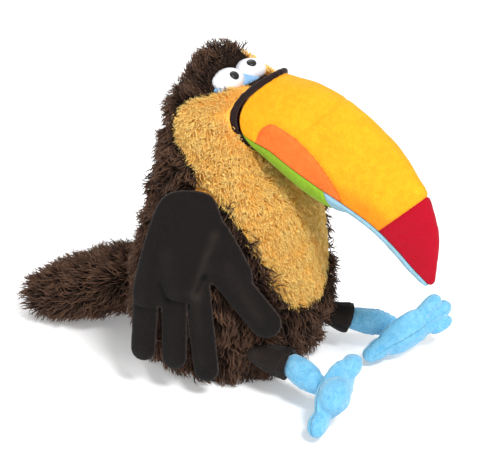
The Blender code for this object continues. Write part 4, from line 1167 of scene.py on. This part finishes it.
def build_beak():
    """Both halves, and the piping ring that each half's edge is sewn to."""
    build_beak_half("upper_beak", CULMEN, 1.0, "upper_beak",
                    ("upper_beak_cover", "upper_beak_tip", "right_beak_patch", "left_beak_patch",
                     "upper_mouth_lining"))
    build_beak_half("lower_beak", KEEL, -1.0, "jaw",
                    ("lower_beak_base", "lower_beak_tip", "lower_mouth_lining"))
    corner = math.acos((LIP_HEIGHT - RING_MIDDLE) / RING_HALF_HEIGHT)
    for name, body, first, last in (("upper_beak_ring", "upper_beak", -corner, corner),
                                    ("lower_beak_ring", "jaw", corner, 2 * math.pi - corner)):
        turns = np.linspace(first, last, 120)
        rise = np.cos(turns)
        path = np.stack((RING_HALF_WIDTH * np.sin(turns), RING_SIDE_Y - RING_DISH * rise * rise,
                         RING_MIDDLE + RING_HALF_HEIGHT * rise), axis=1)
        ends = np.minimum(np.arange(120), np.arange(120)[::-1])
        sizes = RING_RADIUS * np.minimum(1.0, 0.35 + 0.3 * ends) * (1 + 0.06 * np.sin(turns * 31))
        rings = swept_rings(path, sizes, sizes, 20, (0, 1.0, 0))
        piece = make_piece(name + "_piping", *closed_tube(rings), PIPING)
        points, normals = points_of(piece), normals_of(piece)
        seam = line_on(normals[:, 1] + 0.8, 0.12)
        swell = 0.0003 * (wander(points, 260.0) - seam)
        move_points(piece, points + normals * swell[:, None])
        sew_on(piece, body, (name,))


# ---------------------------------------------------------------- eyes
def dome(centre, size, rows=36, columns=60):
    """Points and faces of a stuffed dome, closed at both poles along X."""
    falls = np.linspace(0, math.pi, rows + 2)[1:-1]
    turns = turns_of(columns)
    rings = [centre + size * np.stack((np.full(columns, math.cos(f)), math.sin(f) * np.cos(turns),
                                       math.sin(f) * np.sin(turns)), axis=1) for f in falls]
    return closed_tube(rings)


def build_eyes():
    """The felt patch, and on it two stuffed domes with their pupils."""
    patch = np.array((0.0, EYE_CENTRE[1], EYE_CENTRE[2] - 0.006))
    felt = make_piece("eye_felt", *dome(patch, PATCH_SIZE, 50, 80), EYE_FELT)
    points, normals = points_of(felt), normals_of(felt)
    move_points(felt, points + normals * (0.0005 * wander(points, 120.0, 4.0))[:, None])
    sew_on(felt, "head", ("eye_patch",))
    for side, sign in (("right", -1), ("left", 1)):
        centre = EYE_CENTRE * (sign, 1, 1)
        eye = make_piece(f"{side}_eye_dome", *dome(centre, EYE_SIZE), EYE_WHITE)
        points, normals = points_of(eye), normals_of(eye)
        edge = line_on(points[:, 2] - centre[2] + 0.006, 0.002)
        move_points(eye, points + normals * (0.0004 * wander(points, 70.0, 5.0 + sign)
                                             - 0.0005 * edge)[:, None])
        sew_on(eye, "head", (f"{side}_eye",))
        aim = unit(np.array(PUPIL_AIMS[side]))
        spot = aim / np.linalg.norm(aim / EYE_SIZE)
        normal = unit(spot / EYE_SIZE**2)
        first = unit(np.cross(normal, (0, 0, 1.0)))
        second = np.cross(normal, first)
        turns = turns_of(40)
        rings = []
        for reach, lift in ((0.95, -0.0010), (1.0, 0.0002), (0.93, 0.0010), (0.7, 0.0014),
                            (0.4, 0.0016), (0.12, 0.0017)):
            flat = (np.cos(turns)[:, None] * first + np.sin(turns)[:, None] * second)
            ring = spot + flat * PUPIL_RADIUS * reach
            ring = ring / np.linalg.norm(ring / EYE_SIZE, axis=1)[:, None] + normal * lift
            rings.append(centre + ring)
        pupil = make_piece(f"{side}_pupil_disc", *closed_tube(rings), PUPIL_BLACK)
        sew_on(pupil, "head", (f"{side}_pupil",))


# ---------------------------------------------------------------- wings
def wing_axes(sign, turn):
    """A wing's middle, and the ways forwards, down and outwards over it."""
    outward = np.array((sign * math.cos(turn), -math.sin(turn), 0.0))
    forward = np.array((-sign * math.sin(turn), -math.cos(turn), 0.0))
    up = np.array((0.0, 0.0, 1.0))
    down = -up * math.cos(WING_TILT) + outward * math.sin(WING_TILT)
    face = outward * math.cos(WING_TILT) + up * math.sin(WING_TILT)
    return outward * WING_REACH + up * WING_TOP, forward, down, face


def bar_distance(start, end, half, u, v):
    """Signed distance to a bar with a round end, positive inside it."""
    start, end = np.asarray(start), np.asarray(end)
    way = end - start
    length = np.linalg.norm(way)
    end = end - way / length * half
    way = end - start
    t = np.clip(((u - start[0]) * way[0] + (v - start[1]) * way[1]) / way.dot(way), 0, 1)
    return half - np.hypot(u - start[0] - t * way[0], v - start[1] - t * way[1])


THUMB_WEB = ((-0.010, -0.004), (0.004, 0.002), (0.018, 0.022), (0.042, 0.064), (0.020, 0.076),
             (-0.004, 0.068))


def glove_shapes():
    """The glove's outlines, each as a signed distance in the wing's own plane."""
    shapes = [("palm", lambda u, v: outline_distance(rounded(WING_PALM, 2), u, v)),
              ("web", lambda u, v: outline_distance(rounded(THUMB_WEB, 2), u, v))]
    for name, _, tip, half in FINGERS:
        root = KNUCKLE_ROOTS[name]
        shapes.append((name, lambda u, v, r=root, t=tip, h=half: bar_distance(r, t, h, u, v)))
    return shapes


# These creases are dents in the glove, and they are also painted darker as painted shade.
GLOVE_CREASES = (  # from, to, share of the depth, width
    ((0.006, 0.012), (-0.012, 0.062), 0.55, 0.0040),
    ((-0.012, 0.062), (-0.018, 0.076), 0.75, 0.0030),
    ((-0.057, 0.074), (-0.050, 0.090), 0.70, 0.0030),
    ((-0.050, 0.090), (-0.028, 0.094), 0.75, 0.0026),
    ((-0.028, 0.094), (-0.026, 0.118), 0.60, 0.0024),
    ((-0.088, 0.098), (-0.060, 0.102), 0.55, 0.0024),
    ((-0.022, 0.124), (0.004, 0.128), 0.25, 0.0040),
    ((0.012, 0.052), (0.028, 0.068), 0.20, 0.0050),
    ((-0.055, -0.002), (-0.020, 0.004), 0.16, 0.0060),
)
# These swells are raised folds in the glove, and they are also painted lighter as painted
# highlight.
GLOVE_SWELLS = (  # from, to, height, width
    ((-0.002, 0.020), (-0.020, 0.080), 0.0034, 0.0075),
    ((-0.020, 0.080), (-0.012, 0.150), 0.0016, 0.0070),
    ((0.012, 0.050), (0.044, 0.096), 0.0026, 0.0085),
    ((-0.050, 0.040), (-0.044, 0.080), 0.0018, 0.0090),
    ((-0.072, 0.050), (-0.074, 0.092), 0.0014, 0.0070),
    ((-0.043, 0.108), (-0.042, 0.150), 0.0014, 0.0070),
    ((-0.075, 0.112), (-0.075, 0.146), 0.0014, 0.0070),
)


HIGHEST_SWELL = 0.0034
KNUCKLE_BACK = 0.006  # how far a finger's piece reaches back over the palm
KNUCKLE_BAND = (-0.0065, 0.0090)  # along the finger from its base, about the knuckle; these spots are worked out and not used


def lines_at(lines, u, v):
    """How much of a set of soft lines there is at each place on the glove."""
    return sum(size * line_on(bar_distance(start, end, 0.0, u, v), width)
               for start, end, size, width in lines)


def build_wing(side, sign):
    """A flat glove: a snapped grid over its outline, cut at the knuckles into its pieces."""
    origin, forward, down, face = wing_axes(sign, WING_TURNS[side])
    shapes = glove_shapes()
    step = 0.0011
    us, vs = np.arange(-0.098, 0.072, step), np.arange(-0.034, 0.184, step)
    u, v = np.meshgrid(us, vs, indexing="ij")
    depth = np.max([shape(u, v) for _, shape in shapes], axis=0)
    soft = depth.copy()
    for _ in range(8):
        soft[1:-1, 1:-1] = (soft[1:-1, 1:-1] + soft[2:, 1:-1] + soft[:-2, 1:-1] + soft[1:-1, 2:]
                            + soft[1:-1, :-2]) / 5
    bm = bmesh.new()
    inside = soft > 0.0
    cells = inside[1:, 1:] | inside[:-1, 1:] | inside[1:, :-1] | inside[:-1, :-1]
    corner = np.zeros(soft.shape, bool)
    for a in (slice(0, -1), slice(1, None)):
        for b in (slice(0, -1), slice(1, None)):
            corner[a, b] |= cells
    slope_u, slope_v = np.gradient(soft, step)
    steep = np.maximum(slope_u**2 + slope_v**2, 0.2)
    pull = np.where(soft < 0, soft, 0.0) / steep
    snapped_u, snapped_v = u - pull * slope_u, v - pull * slope_v
    rim = corner & (soft < 0)
    swell = np.clip(soft / 0.013, 0, 1)
    thick = WING_THICKNESS / 2 * (1 - (1 - swell) ** 2.2) ** 0.5
    crease = lines_at(GLOVE_CREASES, u, v)
    swell_folds = lines_at(GLOVE_SWELLS, u, v)
    front = np.empty(soft.shape, object)
    back = np.empty(soft.shape, object)
    flat = list(zip(snapped_u.ravel(), snapped_v.ravel()))
    ripple = np.array([noise.noise(Vector((a * 34, b * 34, 3.0 * sign))) * 0.5
                       + noise.noise(Vector((a * 90, b * 70, 1.0 * sign))) * 0.25
                       for a, b in flat]).reshape(soft.shape)
    for i, j in zip(*np.nonzero(corner)):
        base = origin + forward * snapped_u[i, j] + down * snapped_v[i, j]
        if rim[i, j]:
            front[i, j] = back[i, j] = bm.verts.new(Vector(base + SEAT))
            continue
        shape = thick[i, j] * (1 - 0.62 * min(crease[i, j], 1.0))
        shape += (0.0034 * ripple[i, j] + swell_folds[i, j]) * swell[i, j]
        front[i, j] = bm.verts.new(Vector(base + face * max(shape, 0.0004) + SEAT))
        back[i, j] = bm.verts.new(Vector(base - face * max(thick[i, j], 0.0004) + SEAT))
    for i, j in zip(*np.nonzero(cells)):
        quad = ((i, j), (i + 1, j), (i + 1, j + 1), (i, j + 1))
        for layer, order in ((front, quad), (back, quad[::-1])):
            made = []
            for k in order:
                if layer[k] not in made:
                    made.append(layer[k])
            if len(made) > 2 and bm.faces.get(made) is None:
                bm.faces.new(made)
    bmesh.ops.recalc_face_normals(bm, faces=bm.faces)
    bmesh.ops.smooth_vert(bm, verts=bm.verts, factor=0.5, use_axis_x=True, use_axis_y=True,
                          use_axis_z=True)
    mesh = mesh_of(bm, f"{side}_glove")
    wear(mesh, WING_CLOTH)
    glove = place_object(f"{side}_glove", mesh)
    points = points_of(glove) - origin
    a, b = points @ forward, points @ down
    closeness = np.max([shape(a, b) for _, shape in shapes], axis=0)
    # ridge: painted highlight on the raised folds; edge: painted sheen highlight along the rim;
    # crease: painted shade in the creases.
    ridge = lines_at(GLOVE_SWELLS, a, b) / HIGHEST_SWELL * (0.75 + 0.5 * wander(points, 40.0, 2.0))
    edge = line_on(closeness - 0.0004, 0.0009) * (0.55 + 0.3 * wander(points, 300.0))
    store(glove, edge=edge, ridge=ridge, crease=lines_at(GLOVE_CREASES, a, b) * 0.85)
    owners = np.zeros(len(points), int)
    for k, (name, base, tip, half) in enumerate(FINGERS):
        way = unit(np.subtract(tip, base))
        root = base - way * KNUCKLE_BACK
        t = (a - root[0]) * way[0] + (b - root[1]) * way[1]
        near = bar_distance(root, tip, half + 0.005, a, b)
        others = [bar_distance(f[1], f[2], f[3], a, b) for f in FINGERS if f[0] != name]
        mine = bar_distance(base, tip, half, a, b)
        owners = np.where((t > 0) & (near > 0) & (mine >= np.max(others, axis=0)), k + 1, owners)
    vertex_of = [list(p.vertices) for p in mesh.polygons]
    face_owner = np.array([owners[v].min() if owners[v].min() == owners[v].max() else 0
                           for v in vertex_of])
    names = [f"{side}_palm"] + [f"{side}_{f[0]}_velour" for f in FINGERS]
    pieces = parts_of(glove, [face_owner == k for k in range(5)], names)
    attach(pieces[0], f"{side}_wing")
    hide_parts(f"{side}_wing")
    for piece, (name, base, tip, _) in zip(pieces[1:], FINGERS):
        for run in KNUCKLE_BAND:
            spot = np.array(base) + unit(np.subtract(tip, base)) * run
            tuple(origin + forward * spot[0] + down * spot[1] + SEAT)
        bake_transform(piece)
        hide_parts(f"{side}_{name}")


# ---------------------------------------------------------------- legs
def joint_named(name):
    """The frame's row of a joint."""
    return next(joint for joint in frame["joints"] if joint["name"] == name)


FOOT_VOXEL = 0.0012
FOOT_DROP = 0.0178  # from the ankle to the foot's middle
SOLES = {"right": (-0.20, -0.92, 0.34), "left": (-0.56, -0.82, 0.08)}
FORWARDS = {"right": (-0.90, -0.04, -0.41), "left": (0.78, -0.50, 0.38)}
FOOT_BULGES = {  # along, across and towards the sole from the foot's middle, and the size
    "right": (
        ((0.012, -0.004, 0.0085), (0.0200, 0.0165, 0.0170)),
        ((-0.030, 0.001, 0.0020), (0.0160, 0.0105, 0.0105)),
        ((0.040, 0.003, 0.0000), (0.0160, 0.0105, 0.0100)),
    ),
    "left": (
        ((0.000, 0.000, 0.0010), (0.0290, 0.0175, 0.0115)),
        ((0.038, -0.0150, 0.0010), (0.0150, 0.0080, 0.0090)),
        ((-0.034, 0.000, 0.0000), (0.0160, 0.0115, 0.0105)),
    ),
}


def build_leg(side):
    """The blue foot and shin as one soft skin, and the black cuff of the thigh."""
    ankle = np.array(joint_named(f"{side}_ankle_bend")["pos_m"]) - SEAT
    knee = np.array(joint_named(f"{side}_knee_bend")["pos_m"]) - SEAT
    forward = unit(np.array(FORWARDS[side]))
    sole = unit(np.array(SOLES[side]) - forward * np.dot(SOLES[side], forward))
    across = np.cross(sole, forward)
    middle_of_foot = ankle + sole * FOOT_DROP
    bulges = []
    for place, size in FOOT_BULGES[side]:
        points, faces = dome(np.zeros(3), np.array(size), 16, 24)
        points = points @ np.array((forward, across, sole))
        spot = np.array((forward, across, sole)).T @ np.array(place)
        bulges.append((points + middle_of_foot + spot, faces))
    foot = soft_union(f"{side}_foot_velour", (f"{side}_shin", f"{side}_foot"), FOOT_VOXEL, 7,
                      FOOT_CLOTH, bulges)
    points, normals = points_of(foot), normals_of(foot)
    local = points - ankle
    a, c, s = local @ forward, local @ across, local @ sole
    along = unit(ankle - knee)
    run = (points - knee) @ along
    reach = np.linalg.norm(ankle - knee)
    on_foot = ease(0.004, 0.009, s)
    rim = line_on(s - 0.0172, 0.0011) * on_foot
    wrinkle = np.sin((run - 0.55 * c + 0.003 * wander(points, 60.0, 1.0)) * 2 * math.pi / 0.0085)
    gathered = ease(0.25, 0.55, run / reach) * (1 - ease(0.9, 1.1, run / reach)) * (1 - on_foot)
    middle = line_on(c, 0.0010) * ease(0.02, 0.03, s) * (side == "left")
    wrinkle *= 0.5 + 0.5 * wander(points, 45.0, 9.0)
    move = (0.0014 * wander(points, 55.0, 3.0) + 0.0009 * wrinkle * gathered
            - 0.0013 * rim - 0.0010 * middle)
    points = points + normals * move[:, None]
    points[:, 2] = np.maximum(points[:, 2], 0.0003)
    move_points(foot, points)
    store(foot, seam=np.maximum(rim, middle) * 0.9)
    start, end = (tuple(ankle + sole * d + SEAT) for d in (-0.004, 0.008))
    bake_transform(foot)
    sew_on(foot, None, (f"{side}_shin", f"{side}_foot"))
    cuff = soft_union(f"{side}_thigh_cuff", (f"{side}_thigh",), FOOT_VOXEL, 6, WING_CLOTH)
    points, normals = points_of(cuff), normals_of(cuff)
    to_rim = (points - knee) @ along + 0.006
    move = 0.0010 * wander(points, 70.0, 2.0) - 0.0007 * line_on(to_rim, 0.0012)
    move_points(cuff, points + normals * move[:, None])
    ridge = 0.5 + 0.6 * wander(points, 50.0, 7.0)
    # edge is a painted sheen highlight along the cuff's rim; ridge here is random lighter patches
    # of the cloth; crease is left at zero.
    store(cuff, edge=line_on(to_rim, 0.0010) * 0.4, ridge=ridge, crease=ridge * 0.0)
    sew_on(cuff, f"{side}_thigh", (f"{side}_thigh",))


# ---------------------------------------------------------------- linings and what stays
CARRIED = {
    "lining": (LINING, ("body_lining", "neck_lining", "head_lining", "finger_pocket",
                        "thumb_pocket", "hem_binding")),
    "stuffing": (STUFFING, ("torso_padding", "upper_beak_filling", "lower_beak_filling")),
    "board": (BOARD, ("upper_palate_plate", "lower_palate_plate")),
}


HEM_HALF_WIDTH = 0.0052


def build_hem():
    """The bound edge of the hand's opening: a soft cord of cloth round it."""
    low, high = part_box("hem_binding")
    centre = (np.array(low) + np.array(high)) / 2 - SEAT
    half = (np.array(high) - np.array(low)) / 2
    count = 160
    around = turns_of(count)
    pucker = 0.0004 * np.sin(around * 60)
    rings = []
    for t in turns_of(20):
        out = HEM_HALF_WIDTH * (math.cos(t) * (1 + 0.05 * math.sin(3 * t)) - 1) + pucker
        rings.append(np.stack(((half[0] + out) * np.cos(around), (half[1] + out) * np.sin(around),
                               np.full(count, half[2] * math.sin(t))), axis=1))
    points = np.concatenate(rings) + centre
    faces = grid_faces(len(rings), count, True)
    last = (len(rings) - 1) * count
    faces += [(last + j, last + (j + 1) % count, (j + 1) % count, j) for j in range(count)]
    hem = make_piece("bound_hem", points, faces, LINING)
    sew_on(hem, "torso", ("hem_binding",))


def dress_frame():
    """Gives the linings, fillings and plates that stay as they are their cloth and board."""
    for finish, nodes in CARRIED.values():
        for node in nodes:
            mesh = frame["nodes"][node].data
            mesh.materials.clear()
            mesh.materials.append(finish)


# ---------------------------------------------------------------- studio
FLOOR_HALF = 40
ROOM_STRENGTH = 0.50
LAMPS = (  # place, size and watts
    ("key", (-0.9, -1.5, 2.1), 0.6, 62.0),
    ("fill", (-1.9, 0.4, 0.9), 1.4, 9.0),
    ("rim", (1.2, 1.0, 1.8), 1.2, 16.0),
)
CAMERA_PLACE = (-1.2210, -0.8036, 0.7881)
CAMERA_AZIMUTH, CAMERA_RISE, CAMERA_LENS = math.radians(-57), math.radians(24), 111.72


def build_studio():
    """The camera, a pale floor, a soft room and three lamps."""
    camera = bpy.data.cameras.new("camera")
    camera.lens, camera.sensor_width = CAMERA_LENS, 36.0
    holder = place_object("camera", camera)
    holder.location = Vector(CAMERA_PLACE) + Vector(SEAT)
    back = Vector((math.sin(CAMERA_AZIMUTH) * math.cos(CAMERA_RISE),
                   -math.cos(CAMERA_AZIMUTH) * math.cos(CAMERA_RISE), math.sin(CAMERA_RISE)))
    holder.rotation_euler = back.to_track_quat("Z", "Y").to_euler()
    bpy.context.scene.camera = holder
    mesh = bpy.data.meshes.new("floor")
    corners = [(x * FLOOR_HALF, y * FLOOR_HALF, 0) for x, y in ((-1, -1), (1, -1), (1, 1), (-1, 1))]
    mesh.from_pydata(corners, [], [(0, 1, 2, 3)])
    mesh.materials.append(make_pale_floor())
    place_object("floor", mesh)
    world = bpy.data.worlds.new("soft_room")
    world.use_nodes = True
    sky = world.node_tree.nodes["Background"].inputs
    sky["Color"].default_value, sky["Strength"].default_value = WHITE, ROOM_STRENGTH
    bpy.context.scene.world = world
    bpy.context.scene.view_settings.view_transform = "Standard"
    middle = Vector((0.0, -0.06, 0.16))
    for name, place, size, power in LAMPS:
        lamp = bpy.data.lights.new(name, "AREA")
        lamp.size, lamp.energy = size, power
        stand = place_object(name, lamp)
        stand.location = place
        stand.rotation_euler = (Vector(place) - middle).to_track_quat("Z", "Y").to_euler()


build_studio()
build_figure()
build_tail()
build_beak()
build_eyes()
for side_name, side_sign in (("right", -1), ("left", 1)):
    build_wing(side_name, side_sign)
    build_leg(side_name)
build_hem()
dress_frame()
for lock in (LONG_LOCK, CURLY_LOCK):
    bpy.data.objects.remove(lock)
